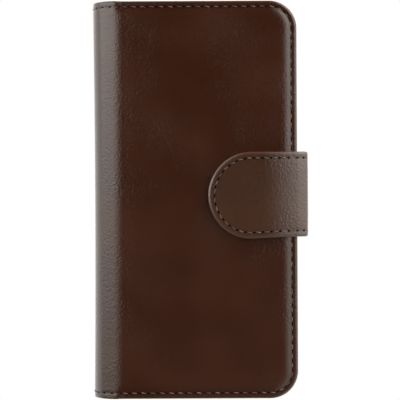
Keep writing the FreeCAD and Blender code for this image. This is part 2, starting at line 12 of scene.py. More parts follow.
import bmesh
import bpy
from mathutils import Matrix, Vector


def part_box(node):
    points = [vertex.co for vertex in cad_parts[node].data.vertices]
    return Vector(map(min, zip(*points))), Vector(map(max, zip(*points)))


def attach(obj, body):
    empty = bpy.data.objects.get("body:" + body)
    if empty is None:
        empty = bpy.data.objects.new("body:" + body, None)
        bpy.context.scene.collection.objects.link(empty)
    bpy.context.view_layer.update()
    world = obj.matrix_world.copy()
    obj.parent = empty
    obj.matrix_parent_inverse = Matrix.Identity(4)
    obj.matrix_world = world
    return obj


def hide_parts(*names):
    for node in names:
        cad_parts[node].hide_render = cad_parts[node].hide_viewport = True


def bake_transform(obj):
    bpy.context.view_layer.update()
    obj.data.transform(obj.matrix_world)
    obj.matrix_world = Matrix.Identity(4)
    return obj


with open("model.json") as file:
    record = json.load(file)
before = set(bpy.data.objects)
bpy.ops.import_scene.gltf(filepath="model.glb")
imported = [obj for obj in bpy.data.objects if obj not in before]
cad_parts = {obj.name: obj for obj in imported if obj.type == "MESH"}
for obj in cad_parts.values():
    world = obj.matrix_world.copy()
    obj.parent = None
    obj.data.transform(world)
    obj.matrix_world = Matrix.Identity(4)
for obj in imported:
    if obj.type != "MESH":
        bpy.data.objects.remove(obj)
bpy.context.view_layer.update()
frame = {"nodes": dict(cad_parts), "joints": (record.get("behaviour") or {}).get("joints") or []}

MM = 0.001
joints = {joint["name"]: Vector(joint["pos_m"]) for joint in frame["joints"]}

# %% [markdown]
# ## The sizes, read from the frame
# Every place below is worked out from the boxes of the CAD pieces, so the leather always fits
# the boards. The spine is a half round whose diameter is the closed thickness.

# %% Read the sizes
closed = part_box("front_leather")[1].z
half_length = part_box("front_leather")[1].y
fore_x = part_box("front_leather")[1].x
spine_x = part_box("spine_leather")[0].x
spine_radius = closed / 2
hinge_x = spine_x + spine_radius
front_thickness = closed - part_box("front_lining")[0].z
back_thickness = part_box("back_lining")[1].z
lining_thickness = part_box("back_lining")[1].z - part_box("back_lining")[0].z
spine_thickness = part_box("spine_lining")[0].x - spine_x + lining_thickness
panel_width = fore_x - hinge_x
corner_radius = 10.5 * MM

strap_half = (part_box("tip_leather")[1].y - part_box("tip_leather")[0].y) / 2
strap_y = (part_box("tip_leather")[1].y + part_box("tip_leather")[0].y) / 2
tip_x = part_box("tip_leather")[0].x
tip_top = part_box("tip_leather")[1].z
strap_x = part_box("side_leather")[1].x
tip_thickness = tip_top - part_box("tip_lining")[0].z
strap_thickness = strap_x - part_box("side_lining")[1].x + (
    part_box("strap_root_lining")[0].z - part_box("strap_root_leather")[0].z) * 0.75
bend_radius = (strap_x - joints["strap_bend_fold"].x) / (1 - math.sqrt(0.5))
bend_x = strap_x - bend_radius
high_bend_z = tip_top - bend_radius
low_bend_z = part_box("strap_root_leather")[0].z + bend_radius
print(f"panel {panel_width / MM:.1f} mm wide, spine radius {spine_radius / MM:.1f} mm,"
      f" bend radius {bend_radius / MM:.2f} mm, strap {strap_thickness / MM:.2f} mm")

# %% [markdown]
# ## Leather as a sheet that is drawn flat and then bent
# A leather worker draws a wallet flat. The same works for a mesh: each piece is drawn in flat
# coordinates, `u` across and `y` along, and a small function bends it round the spine or the
# strap's corners. Because the grain is fixed to the flat drawing, it never stretches.

# %% Bend a cover
def ease(value, start, end):
    """0 before start, 1 after end, and a smooth step between them."""
    share = min(max((value - start) / (end - start), 0.0), 1.0)
    return share * share * (3 - 2 * share)


SPINE_BOW = 0.5 * MM  # a soft spine draws in a little at its middle


def cover_place(side):
    """Where a flat point of a cover lies: side is 1 for the front, -1 for the back."""
    def place(u, y, depth):
        if u >= 0:
            x, z = hinge_x + u, closed - depth
        else:
            angle = -u / spine_radius
            x = hinge_x - (spine_radius - depth) * math.sin(angle)
            x += SPINE_BOW * (1 - (y / half_length) ** 2) * ease(angle, 0.1, 1.3)
            z = spine_radius + (spine_radius - depth) * math.cos(angle)
        return Vector((x, y, z if side > 0 else closed - z))
    return place


print("5 mm round the spine lies at", [round(value / MM, 2) for value in
                                       cover_place(1)(-5 * MM, 0, 0)])

# %% [markdown]
# ### The strap's path
# From its round end the strap runs over the front, down the fore edge and in under the back: a
# flat run, a quarter bend, an upright run, a quarter bend and a tail. One length, `s`, is
# measured along all five, so the stitches can be stepped off evenly right round the bends.

# %% Bend the strap
top_run = bend_x - tip_x
bend_run = bend_radius * math.pi / 2
side_run = high_bend_z - low_bend_z
side_start = top_run + bend_run
low_bend_start = side_start + side_run
tail_start = low_bend_start + bend_run
strap_middle = side_start + side_run / 2
SAG = 5.4  # the strap curves down towards its bend, per metre
SAG_START = 20 * MM  # but its rounded end lies flat for this far
TAPER = 0.055  # and its lower edge draws in by this share


def strap_place(s, y, depth):
    """Where a flat point of the strap lies: s runs from the rounded end to the tail."""
    y = y * (1 - (TAPER * ease(s, 0.6 * strap_half, top_run) if y < 0 else 0)) + strap_y
    flat = max(min(s, top_run) - SAG_START, 0.0)
    into_bend = max(s - top_run, 0.0)
    sag = SAG * flat ** 2 + 2 * SAG * flat * into_bend
    depth += sag * (1 - ease(s, top_run, side_start))
    reach = bend_radius - depth
    if s <= top_run:
        return Vector((tip_x + s, y, tip_top - depth))
    if s <= side_start:
        angle = (s - top_run) / bend_radius
        return Vector((bend_x + reach * math.sin(angle), y, high_bend_z + reach * math.cos(angle)))
    if s <= low_bend_start:
        return Vector((bend_x + reach, y, high_bend_z - (s - side_start)))
    if s <= tail_start:
        angle = (s - low_bend_start) / bend_radius
        return Vector((bend_x + reach * math.cos(angle), y, low_bend_z - reach * math.sin(angle)))
    return Vector((bend_x - (s - tail_start), y, low_bend_z - reach))


print(f"the strap is {tail_start / MM:.1f} mm long from its tip to where it goes in")

# %% [markdown]
# ## How thick, how padded, how worn
# A turned edge is rounded, the row of stitches pulls a shallow channel into the face, and the
# foam lifts the middle of the front. These are heights over the flat drawing, so they are kept
# as functions: the mesh, the stitches and the edge colours (wear with a painted highlight, and
# painted shade in the channel) all read the same ones.

# %% Shape the faces
STITCH_INSET = 2.25 * MM
STRAP_STITCH_INSET = 2.4 * MM
COVER_CHANNEL = (0.4 * MM, 0.07 * MM)  # half the width of the sewn channel, and its depth
STRAP_CHANNEL = (0.6 * MM, 0.06 * MM)
SPINE_DEPTH = 0.06 * MM  # the spine's leather lies this much deeper than the flat front
SPINE_PINCH = 0.24 * MM  # and this much more once it is well round the bend
HINGE_ROUND = 2.2 * MM  # next to the spine the flat face curves down over this width
HINGE_CURVE = 27  # by this much, per metre
PAD_FOOT, PAD_TOP = 2.5 * MM, 6.2 * MM  # the padding rises between these distances from the edge
PAD_STEEPNESS = 2.6


def rounded(inset, radius):
    """How far a rounded edge has dropped at this distance from the edge."""
    if inset >= radius:
        return 0.0
    return radius - math.sqrt(radius ** 2 - (radius - inset) ** 2)


def channel(inset, middle, width, depth):
    return depth * math.exp(-((inset - middle) / width) ** 2)


def face_maker(crown, margin_drop):
    """The outer face of a cover: crown lifts the padded middle, margin_drop sinks the margin."""
    def face(u, inset):
        on_panel = ease(u, -0.8 * MM, 7 * MM)
        middle = SPINE_DEPTH * (1 - on_panel) - crown * on_panel
        middle += HINGE_CURVE * max(HINGE_ROUND - max(u, 0.0), 0.0) ** 2
        middle += SPINE_PINCH * (1 - math.exp(min(u, 0.0) / (2 * MM)))
        slope = max(PAD_TOP - max(inset, PAD_FOOT), 0.0) / (PAD_TOP - PAD_FOOT)
        margin = margin_drop * ease(u, -0.6 * MM, 3 * MM) * slope ** PAD_STEEPNESS
        sewn = channel(inset, STITCH_INSET, *COVER_CHANNEL)
        edge = (0.45 + 0.45 * ease(u, -1 * MM, 1 * MM)) * MM
        return middle + margin + sewn + rounded(inset, edge)
    return face


def thickness_maker(flat_thickness):
    def thickness(u, y):
        return spine_thickness + (flat_thickness - spine_thickness) * ease(u, -3 * MM, 0)
    return thickness


front_face = face_maker(crown=0.02 * MM, margin_drop=0.42 * MM)
back_face = face_maker(crown=0.0, margin_drop=0.15 * MM)
front_depth = thickness_maker(front_thickness)
back_depth = thickness_maker(back_thickness)
tail_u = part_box("strap_root_leather")[0].x - hinge_x
tail_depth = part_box("strap_root_leather")[0].z


def back_hem_depth(u, y):
    """The back's hem steps down under the strap's tail, which lies between it and the lining."""
    beside = abs(y - strap_y) - strap_half
    under = ease(u, tail_u - 2 * MM, tail_u) * (1 - ease(beside, 0, 1 * MM))
    return back_depth(u, y) + (tail_depth + 0.2 * MM - back_depth(u, y)) * under


def strap_face(s, inset):
    sewn = channel(inset, STRAP_STITCH_INSET, *STRAP_CHANNEL)
    return sewn + rounded(inset, 0.8 * MM) - 0.05 * MM * ease(inset, 3 * MM, 8 * MM)


def strap_depth(s):
    thin = ease(s, top_run - 12 * MM, top_run - 2 * MM)
    return tip_thickness + (strap_thickness - tip_thickness) * thin


print(f"padding stands {(front_face(30 * MM, 2 * MM) - front_face(30 * MM, 9 * MM)) / MM:.2f} mm"
      " over the stitched margin")

# %% [markdown]
# ## Turning a drawing into a mesh
# The covers are drawn as rings that follow the free edges, with a plain grid inside them. Rings
# put the edge loops where leather has its detail: at the edge, in the stitch channel and on the
# slope of the padding. A boolean or a remesh would give the same outline with messy loops.

# %% Mesh helpers
def finish_mesh(name, vertices, faces, marks):
    """Make the object, keep its flat coordinates, and smooth it apart from its cut ends."""
    mesh = bpy.data.meshes.new(name)
    mesh.from_pydata(vertices, [], faces)
    for label, kind in (("flat", "FLOAT_VECTOR"), ("rim", "FLOAT"), ("seam", "FLOAT")):
        mesh.attributes.new(label, kind, "POINT")
    flat = [value for mark in marks for value in mark[0]]
    mesh.attributes["flat"].data.foreach_set("vector", flat)
    mesh.attributes["rim"].data.foreach_set("value", [mark[1] for mark in marks])
    mesh.attributes["seam"].data.foreach_set("value", [mark[2] for mark in marks])
    work = bmesh.new()
    work.from_mesh(mesh)
    bmesh.ops.remove_doubles(work, verts=work.verts, dist=1e-7)
    bmesh.ops.recalc_face_normals(work, faces=work.faces)
    for face in work.faces:
        face.smooth = True
        if len(face.verts) > 4:
            for edge in face.edges:
                edge.smooth = False
    work.to_mesh(mesh)
    work.free()
    piece = bpy.data.objects.new(name, mesh)
    bpy.context.scene.collection.objects.link(piece)
    return piece


def spread(start, end, step):
    """Evenly spaced values from start to end, about a step apart."""
    count = max(1, round(abs(end - start) / step))
    return [start + (end - start) * index / count for index in range(count + 1)]


def quads(first, second, faces):
    """Join two rows of vertices with faces, leaving out the ones that close to nothing."""
    for index in range(len(first) - 1):
        corners = (first[index], first[index + 1], second[index + 1], second[index])
        distinct = list(dict.fromkeys(corners))
        if len(distinct) > 2:
            faces.append(distinct)


def mark_of(u, y, depth, inset, stitch_inset):
    """What a vertex keeps: its flat place, how near the edge and how near the seam it is."""
    # The rim mask drives edge wear with a painted highlight; the seam mask drives painted shade in
    # the stitch channel.
    rim = 1 - ease(inset, 0.25 * MM, 1.3 * MM)
    seam = math.exp(-((inset - stitch_inset) / (0.55 * MM)) ** 2)
    return ((u, y, depth), rim, seam)


print("a row 10 mm long at 3 mm steps:", [round(value, 1) for value in spread(0, 10, 3)])


# %% [markdown]
# ### A cover
# The outline is square at the spine and rounded at the fore corners. A profile says how the
# sheet goes round the edge: along the face, over the rim and back along the underside.

# %% Mesh of a cover
def way_round(*steps):
    """A sheet's way round its edge, given in millimetres. Each step is a layer, an offset from
    it, and the distances from the edge where the sheet lies at that offset."""
    return [(inset * MM, layer, offset * MM)
            for layer, offset, *insets in steps for inset in insets]


CORNER_STEPS = 14


def cover_mesh(name, place, face, thickness, profile, start_u, edge_inset=0.0):
    """A closed shell. Each profile step is (inset, layer, offset); the first and last reach the
    middle. Layer "face" is measured from the outer face and "under" from the inner one."""
    far = panel_width - edge_inset
    half = half_length - edge_inset
    corner = corner_radius - edge_inset
    turn_u, turn_y = far - corner, half - corner
    stations = spread(min(start_u, 0), 0, 0.6 * MM)[:-1] + spread(max(start_u, 0), 8 * MM, 0.5 * MM)
    stations += spread(8 * MM, turn_u, 1.3 * MM)[1:]
    rows = spread(-turn_y, turn_y, 1.3 * MM)

    def outline(inset):
        points = [(u, inset - half) for u in stations]
        for step in range(1, CORNER_STEPS):
            angle = math.pi / 2 * step / CORNER_STEPS
            points.append((turn_u + (corner - inset) * math.sin(angle),
                           -turn_y - (corner - inset) * math.cos(angle)))
        points += [(far - inset, y) for y in rows]
        for step in range(1, CORNER_STEPS):
            angle = math.pi / 2 * step / CORNER_STEPS
            points.append((turn_u + (corner - inset) * math.cos(angle),
                           turn_y + (corner - inset) * math.sin(angle)))
        points += [(u, half - inset) for u in reversed(stations)]
        return points

    vertices, marks, faces = [], [], []

    def add(u, y, inset, layer, offset):
        from_edge = inset + edge_inset
        if layer == "face":
            depth = face(u, from_edge) + offset
        else:
            depth = max(thickness(u, y) + offset, 0.8 * MM)
        vertices.append(place(u, y, depth))
        marks.append(mark_of(u, y, depth, from_edge, STITCH_INSET))
        return len(vertices) - 1

    def grid(layer, offset):
        return [[add(u, y, corner, layer, offset) for y in rows] for u in stations]

    def border(net):
        corner_low, corner_high = net[-1][0], net[-1][-1]
        return ([column[0] for column in net] + [corner_low] * (CORNER_STEPS - 1) + net[-1]
                + [corner_high] * (CORNER_STEPS - 1) + [column[-1] for column in reversed(net)])

    outer = grid(profile[0][1], profile[0][2])
    inner = grid(profile[-1][1], profile[-1][2])
    rings = [border(outer)]
    for inset, layer, offset in profile[1:-1]:
        rings.append([add(u, y, inset, layer, offset) for u, y in outline(inset)])
    rings.append(border(inner))
    for first, second in zip(rings, rings[1:]):
        quads(first, second, faces)
    for net in (outer, inner):
        for first, second in zip(net, net[1:]):
            quads(first, second, faces)
    cut_end = outer[0] + [ring[-1] for ring in rings[1:-1]] + inner[0][::-1]
    cut_end += [ring[0] for ring in reversed(rings[1:-1])]
    faces.append(cut_end)
    return finish_mesh(name, vertices, faces, marks)


print("a corner turns in", CORNER_STEPS, "steps")


# %% [markdown]
# ## Outer leather
# The real cover is one piece of leather, glued to the boards and turned over their edges. Here
# it is cut once, low on the spine where the back's hinge has already turned, so that each part
# crosses one hinge only. The hem is the strip turned to the inside.

# %% Cut and turn the outer leather
HEM = 7.0  # millimetres
TURNED = way_round(
    ("face", 0.0, 10.5, 9, 7.5, 6.2, 5.2, 4.4, 3.7, 3.1, 2.6, 2.25, 1.95, 1.65, 1.3, 0.95, 0.6,
     0.35, 0.17, 0.05, 0.0),
    ("under", -0.95, 0.0), ("under", -0.7, 0.05), ("under", -0.47, 0.2), ("under", -0.3, 0.5),
    ("under", -0.25, 1.0, HEM - 0.2), ("under", -0.35, HEM), ("under", -0.6, HEM),
    ("under", -0.65, 1.3), ("under", -0.75, 1.0), ("face", 0.72, 1.0), ("face", 0.7, 1.3, 6, 10.5))


def spine_point(degrees):
    """A point on the spine's outer face: 90 is the front's edge, 270 the back's."""
    angle = math.radians(degrees)
    return Vector((hinge_x + spine_radius * math.cos(angle), 0,
                   spine_radius + spine_radius * math.sin(angle)))


SEAM_DEGREES = 206
FRONT_BEND = (spine_point(154), spine_point(116))
BACK_BEND = (spine_point(244), spine_point(207))
front_start = -math.radians(SEAM_DEGREES - 90) * spine_radius
back_start = -math.radians(270 - SEAM_DEGREES) * spine_radius

front_skin = cover_mesh("front_cover_leather", cover_place(1), front_face, front_depth,
                        TURNED, front_start)
back_skin = cover_mesh("back_cover_leather", cover_place(-1), back_face, back_hem_depth,
                       TURNED, back_start)
print("front", len(front_skin.data.vertices), "back", len(back_skin.data.vertices), "vertices")

# %% [markdown]
# ## Linings
# A thinner leather faces the inside. It lies on the hem, a little short of the edge, and is
# sewn down by the same row of stitches. It is the same kind of shell, only thin.

# %% Lay the linings
LAID = way_round(
    ("under", -0.42, 9.5, 5, 0.4), ("under", -0.36, 0.1), ("under", -0.25, 0.0),
    ("under", -0.15, 0.0), ("under", -0.05, 0.08), ("under", 0.0, 0.3, 0.6),
    ("under", -0.07, 0.9), ("under", -0.12, 1.05), ("under", -0.07, 1.2),
    ("under", 0.0, 1.6, 3, 6, 9.5))
LINING_INSET = 0.9 * MM
front_inside = cover_mesh("front_lining_sheet", cover_place(1), front_face, front_depth,
                          LAID, front_start, LINING_INSET)
back_inside = cover_mesh("back_lining_sheet", cover_place(-1), back_face, back_depth,
                         LAID, back_start, LINING_INSET)
print("linings", len(front_inside.data.vertices), len(back_inside.data.vertices), "vertices")

# %% [markdown]
# ## Camera opening
# The back has a long hole for the phone's camera. It is punched after the sheets are laid, which
# is what a boolean does. The cutter is a plain round-ended block, as large as the CAD hole.

# %% Cut a long hole
def punch(piece, node):
    """Cut the long hole of the CAD back board out of the piece."""
    low, high = hole_box(node)
    radius = (high.y - low.y) / 2
    middle_y = (low.y + high.y) / 2
    work = bmesh.new()
    ring = []
    for end_x, first in ((high.x - radius, -90), (low.x + radius, 90)):
        for step in range(17):
            angle = math.radians(first + 180 * step / 16)
            ring.append(work.verts.new((end_x + radius * math.cos(angle),
                                        middle_y + radius * math.sin(angle), -5 * MM)))
    base = work.faces.new(ring)
    lifted = bmesh.ops.extrude_face_region(work, geom=[base])
    moved = [item for item in lifted["geom"] if isinstance(item, bmesh.types.BMVert)]
    bmesh.ops.translate(work, verts=moved, vec=(0, 0, 9 * MM))
    bmesh.ops.recalc_face_normals(work, faces=work.faces)
    mesh = bpy.data.meshes.new("punch")
    work.to_mesh(mesh)
    work.free()
    tool = bpy.data.objects.new("punch", mesh)
    bpy.context.scene.collection.objects.link(tool)
    cut = piece.modifiers.new("camera_opening", "BOOLEAN")
    cut.object = tool
    cut.operation = "DIFFERENCE"
    cut.solver = "EXACT"
    graph = bpy.context.evaluated_depsgraph_get()
    result = bpy.data.meshes.new_from_object(piece.evaluated_get(graph))
    piece.modifiers.clear()
    piece.data = result
    bpy.data.objects.remove(tool)


def hole_box(node):
    """The box of the hole in a flat CAD sheet: the vertices that lie well inside its outline."""
    low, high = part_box(node)
    inset = 4 * MM
    inner = [vertex.co for vertex in frame["nodes"][node].data.vertices
             if low.x + inset < vertex.co.x < high.x - inset
             and low.y + inset < vertex.co.y < high.y - inset]
    return (Vector((min(point.x for point in inner), min(point.y for point in inner), 0)),
            Vector((max(point.x for point in inner), max(point.y for point in inner), 0)))


print("camera opening", [round(value / MM, 1) for corner in hole_box("back_lining")
                         for value in corner[:2]])

# %% [markdown]
# ### Through leather and lining
# Both sheets get the same hole, in line with the one in the CAD board between them.

# %% Punch the camera opening
for piece in (back_skin, back_inside):
    before = len(piece.data.polygons)
    punch(piece, "back_lining")
    print(piece.name, before, "faces before,", len(piece.data.polygons), "after")

# %% [markdown]
# ## The strap
# The strap is a narrow sandwich: leather turned over a stiff core, and a lining. Its end is a
# half round. Rings that shrink to the strap's middle line follow both the straight sides and
# the round end. It is cut at the middle of its upright part, between its two hinges.

# %% Mesh of the strap's end
ROUND_STEPS = 44


def strap_end_mesh(name, profile, edge_inset=0.0):
    """The rounded end and the upper half of the upright part, as one closed shell."""
    half = strap_half - edge_inset
    stations = spread(strap_half, top_run - 4 * MM, 1.3 * MM)[:-1]
    stations += spread(top_run - 4 * MM, side_start + 1 * MM, 0.4 * MM)[:-1]
    stations += spread(side_start + 1 * MM, strap_middle, 1.0 * MM)

    def outline(inset):
        reach = half - inset
        points = [(s, -reach) for s in reversed(stations)]
        for step in range(1, ROUND_STEPS):
            angle = math.pi * step / ROUND_STEPS - math.pi / 2
            points.append((strap_half - reach * math.cos(angle), reach * math.sin(angle)))
        return points + [(s, reach) for s in stations]

    vertices, marks, faces, rings = [], [], [], []
    for inset, layer, offset in profile:
        reach = min(inset, half)
        ring = []
        for s, y in outline(reach):
            from_edge = reach + edge_inset
            depth = offset + (strap_face(s, from_edge) if layer == "face" else strap_depth(s))
            ring.append(len(vertices))
            vertices.append(strap_place(s, y, depth))
            marks.append(mark_of(s, y, depth, from_edge, STRAP_STITCH_INSET))
        rings.append(ring)
    for first, second in zip(rings, rings[1:]):
        quads(first, second, faces)
    faces.append([ring[-1] for ring in rings] + [ring[0] for ring in reversed(rings[1:-1])])
    return finish_mesh(name, vertices, faces, marks)


print("the round end turns in", ROUND_STEPS, "steps")

# %% [markdown]
# ### The strap's lower half
# The tail is cut square and hides inside the back, so this half needs no rings. It is one section
# moved along the strap, with closer steps where it bends.

# %% Mesh of the strap's lower half
def strap_strip_mesh(name, profile, edge_inset, end_s):
    """The lower half of the upright part and the tail: one section moved along the strap."""
    half = strap_half - edge_inset
    stations = spread(strap_middle, low_bend_start - 1 * MM, 1.0 * MM)[:-1]
    stations += spread(low_bend_start - 1 * MM, tail_start + 1 * MM, 0.4 * MM)[:-1]
    stations += spread(tail_start + 1 * MM, end_s, 1.3 * MM)
    section = [(-1, step) for step in profile] + [(1, step) for step in reversed(profile[1:-1])]
    vertices, marks, faces, loops = [], [], [], []
    for s in stations:
        loop = []
        for side, (inset, layer, offset) in section:
            reach = min(inset, half)
            from_edge = reach + edge_inset
            depth = offset + (strap_face(s, from_edge) if layer == "face" else strap_depth(s))
            y = side * (half - reach)
            loop.append(len(vertices))
            vertices.append(strap_place(s, y, depth))
            marks.append(mark_of(s, y, depth, from_edge, STRAP_STITCH_INSET))
        loops.append(loop)
    for first, second in zip(loops, loops[1:]):
        quads(first + first[:1], second + second[:1], faces)
    faces += [loops[0][::-1], loops[-1]]
    return finish_mesh(name, vertices, faces, marks)


print("the lower half starts", round((strap_middle - side_start) / MM, 1),
      "mm below the upper bend")

# %% [markdown]
# ### Cutting and lining the strap
# The leather is turned over the core like the covers', and the lining stops short of the edge.
# Both halves use the same two profiles, so they meet exactly at the cut.

# %% Cut, turn and line the strap
STRAP_TURNED = way_round(
    ("face", 0.0, 99, 12, 8.5, 6.5, 5.2, 4.2, 3.4, 2.9, 2.4, 1.9, 1.4, 1.0, 0.65, 0.35, 0.15,
     0.03),
    ("under", -0.62, 0.0), ("under", -0.45, 0.06), ("under", -0.3, 0.2),
    ("under", -0.2, 0.5, 3, 99))
STRAP_LAID = way_round(
    ("under", -0.3, 99, 0.2), ("under", -0.2, 0.0), ("under", -0.08, 0.0),
    ("under", 0.0, 0.12, 3, 99))
STRAP_LINING_INSET = 1.3 * MM
tail_end = tail_start + bend_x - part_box("strap_root_leather")[0].x
tip_skin = strap_end_mesh("strap_end_leather", STRAP_TURNED)
tip_inside = strap_end_mesh("strap_end_lining", STRAP_LAID, STRAP_LINING_INSET)
root_skin = strap_strip_mesh("strap_root_leather_strip", STRAP_TURNED, 0.0, tail_end)
root_inside = strap_strip_mesh("strap_root_lining_strip", STRAP_LAID, STRAP_LINING_INSET, tail_end)
print("strap", len(tip_skin.data.vertices), len(root_skin.data.vertices), "vertices")

# %% [markdown]
# ## Stitches
# Each stitch is its own short bar of thread: it comes up through one needle hole, lies in the
# channel a little askew, and goes down through the next. A texture could draw them, but real
# bars catch the light and cast the small shadows that make a sewn edge look sewn.

# %% Walk along a row
THREAD_RADIUS = 0.23 * MM
STITCH_SHARE = 0.56  # how much of the way from hole to hole the thread shows
STITCH_ARCH = 0.20 * MM  # it rises this much at its middle
STITCH_BED = 0.04 * MM  # lies this deep in the channel
STITCH_SINK = 0.12 * MM  # dives this much more into the next hole
STITCH_SKEW = 0.15 * MM  # and lies this much askew
HOLE_SIZE = (0.5 * MM, 0.42 * MM)  # half a needle hole's length and width
TUBE_SIDES = 8
TUBE_STEPS = 7


def walk(points):
    """A function for the point at a distance along a chain of flat points, and its length."""
    lengths = [0.0]
    for first, second in zip(points, points[1:]):
        lengths.append(lengths[-1] + math.dist(first, second))

    def at(distance):
        distance = min(max(distance, 0.0), lengths[-1])
        index = next(i for i in range(1, len(lengths)) if distance <= lengths[i] + 1e-12)
        share = (distance - lengths[index - 1]) / (lengths[index] - lengths[index - 1])
        (u0, y0), (u1, y1) = points[index - 1], points[index]
        return u0 + (u1 - u0) * share, y0 + (y1 - y0) * share
    return at, lengths[-1]


def local_frame(at, distance, place, depth_at, outward):
    """Position in the channel, direction along the row and direction out of the face."""
    u, y = at(distance)
    depth = depth_at(u, y)
    before, after = at(distance - 0.1 * MM), at(distance + 0.1 * MM)
    here = place(u, y, depth)
    along = (place(*after, depth) - place(*before, depth)).normalized()
    out = (place(u, y, depth - 0.1 * MM) - here).normalized() * outward
    return here, along, out, along.cross(out)


print("a row round a square of 10 mm is", walk([(0, 0), (10, 0), (10, 10), (0, 10), (0, 0)])[1],
      "mm long")

# %% [markdown]
# ### One stitch and one hole
# A stitch is a short tube whose rings rise at the middle and thin towards the ends, and its far
# end dives into the next hole. The hole is a disc painted dark, painted shade for the depth of a
# real hole, because a boolean for each of some hundreds of holes would be slow and leave messy
# loops.

# %% Make a stitch and a hole
def sew_one(at, start, step, place, depth_at, outward, vertices, faces, marks):
    """One stitch: a tube that thins at its ends, more so where it goes down."""
    middle = start + step / 2
    reach = step * STITCH_SHARE / 2
    first = len(vertices)
    for ring in range(TUBE_STEPS):
        share = 2 * ring / (TUBE_STEPS - 1) - 1
        here, along, out, across = local_frame(at, middle + share * reach, place, depth_at, outward)
        sink = (share + 1) / 2
        lift = STITCH_ARCH * (1 - share ** 2) - STITCH_BED - STITCH_SINK * sink
        centre = here + out * lift + across * share * STITCH_SKEW
        radius = THREAD_RADIUS * math.sqrt(max(1 - 0.75 * share ** 4, 0.0)) * (1 - 0.3 * sink)
        for side in range(TUBE_SIDES):
            angle = 2 * math.pi * side / TUBE_SIDES
            vertices.append(centre + across * radius * math.cos(angle)
                            + out * radius * math.sin(angle) * 0.8)
            marks.append((middle + share * reach, angle * radius, 0.0))
    for ring in range(TUBE_STEPS - 1):
        for side in range(TUBE_SIDES):
            after = (side + 1) % TUBE_SIDES
            base = first + ring * TUBE_SIDES
            faces.append((base + side, base + after, base + TUBE_SIDES + after,
                          base + TUBE_SIDES + side))
    faces.append(tuple(range(first + TUBE_SIDES - 1, first - 1, -1)))
    last = first + (TUBE_STEPS - 1) * TUBE_SIDES
    faces.append(tuple(range(last, last + TUBE_SIDES)))


def eye(at, distance, place, depth_at, outward, vertices, faces, marks):
    """The needle hole: a small domed disc let into the channel, dark with painted shade."""
    here, along, out, across = local_frame(at, distance, place, depth_at, outward)
    first = len(vertices)
    for side in range(TUBE_SIDES):
        angle = 2 * math.pi * side / TUBE_SIDES
        vertices.append(here + out * 0.015 * MM + along * HOLE_SIZE[0] * math.cos(angle)
                        + across * HOLE_SIZE[1] * math.sin(angle))
        marks.append((distance, 0.0, 0.0))
    vertices.append(here + out * 0.05 * MM)
    marks.append((distance, 0.0, 0.0))
    centre = len(vertices) - 1
    made = []
    for side in range(TUBE_SIDES):
        made.append(len(faces))
        faces.append((first + side, first + (side + 1) % TUBE_SIDES, centre))
    return made


print("a stitch and its hole take", TUBE_STEPS * TUBE_SIDES + TUBE_SIDES + 1, "vertices")

# %% [markdown]
# ### A whole row
# The pitch is rounded so that a whole number of stitches fills the row, as a worker would do.
# All of a row's thread is one object, with a second material slot for its holes.

# %% Sew a row
def sew(name, rows, place, depth_at, pitch, outward=1):
    """One object with a bar of thread for every stitch and an eye, dark with painted shade, at
    every needle hole.
    depth_at gives the channel's depth at a flat point; outward is -1 on an inner face."""
    vertices, faces, dark, marks = [], [], [], []
    for points in rows:
        at, length = walk(points)
        count = max(1, round(length / pitch))
        step = length / count
        for number in range(count):
            sew_one(at, number * step, step, place, depth_at, outward, vertices, faces, marks)
            dark += eye(at, (number + 1) * step, place, depth_at, outward, vertices, faces, marks)
    mesh = bpy.data.meshes.new(name)
    mesh.from_pydata(vertices, [], faces)
    mesh.attributes.new("flat", "FLOAT_VECTOR", "POINT")
    mesh.attributes["flat"].data.foreach_set("vector", [v for mark in marks for v in mark])
    piece = bpy.data.objects.new(name, mesh)
    bpy.context.scene.collection.objects.link(piece)
    mesh.polygons.foreach_set("use_smooth", [True] * len(mesh.polygons))
    mesh.materials.append(None)
    mesh.materials.append(None)
    for index in dark:
        mesh.polygons[index].material_index = 1
    return piece


print("the thread is", 2 * THREAD_RADIUS / MM, "mm thick")


# %% [markdown]
# ### The rows
# The covers' row runs round three edges and on over the spine's ends, about 3.5 mm a stitch.
# The strap's row follows its outline. Each row also shows on the inside, as a machine's does.

# %% Mark the rows
COVER_PITCH = 3.5 * MM
STRAP_PITCH = 3.3 * MM


def cover_row(start_u, inset):
    """The flat points of a row at this distance inside a cover's edges."""
    turn_u, turn_y = panel_width - corner_radius, half_length - corner_radius
    radius = corner_radius - inset
    points = [(u, inset - half_length) for u in spread(start_u, turn_u, 2 * MM)]
    for step in range(1, CORNER_STEPS):
        angle = math.pi / 2 * step / CORNER_STEPS
        points.append((turn_u + radius * math.sin(angle), -turn_y - radius * math.cos(angle)))
    points += [(panel_width - inset, y) for y in (-turn_y, turn_y)]
    for step in range(1, CORNER_STEPS):
        angle = math.pi / 2 * step / CORNER_STEPS
        points.append((turn_u + radius * math.cos(angle), turn_y + radius * math.sin(angle)))
    return points + [(u, half_length - inset) for u in reversed(spread(start_u, turn_u, 2 * MM))]


def end_row(inset):
    """The flat points of a row round the strap's end, at this distance inside its edge."""
    reach = strap_half - inset
    points = [(s, -reach) for s in reversed(spread(strap_half, strap_middle, 2 * MM))]
    for step in range(1, ROUND_STEPS):
        angle = math.pi * step / ROUND_STEPS - math.pi / 2
        points.append((strap_half - reach * math.cos(angle), reach * math.sin(angle)))
    return points + [(s, reach) for s in spread(strap_half, strap_middle, 2 * MM)]


def inside_depth(u, y):
    """How deep the innermost layer of the front lies: the pockets step down in front of it."""
    for node in ("card_pocket_3", "card_pocket_2", "card_pocket_1", "bill_pocket"):
        low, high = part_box(node)
        if hinge_x + u >= low.x and y <= high.y:
            return closed - low.z - 0.06 * MM
    return front_depth(u, y) - 0.1 * MM


print("the front's row is", round(walk(cover_row(front_start, STITCH_INSET))[1] / MM), "mm long")

# %% [markdown]
# ### The thread itself
# An outer row lies in the face's channel. An inner row is the same drawing at the lining's depth,
# turned over with `outward=-1`, and it steps up where the pockets cover it.

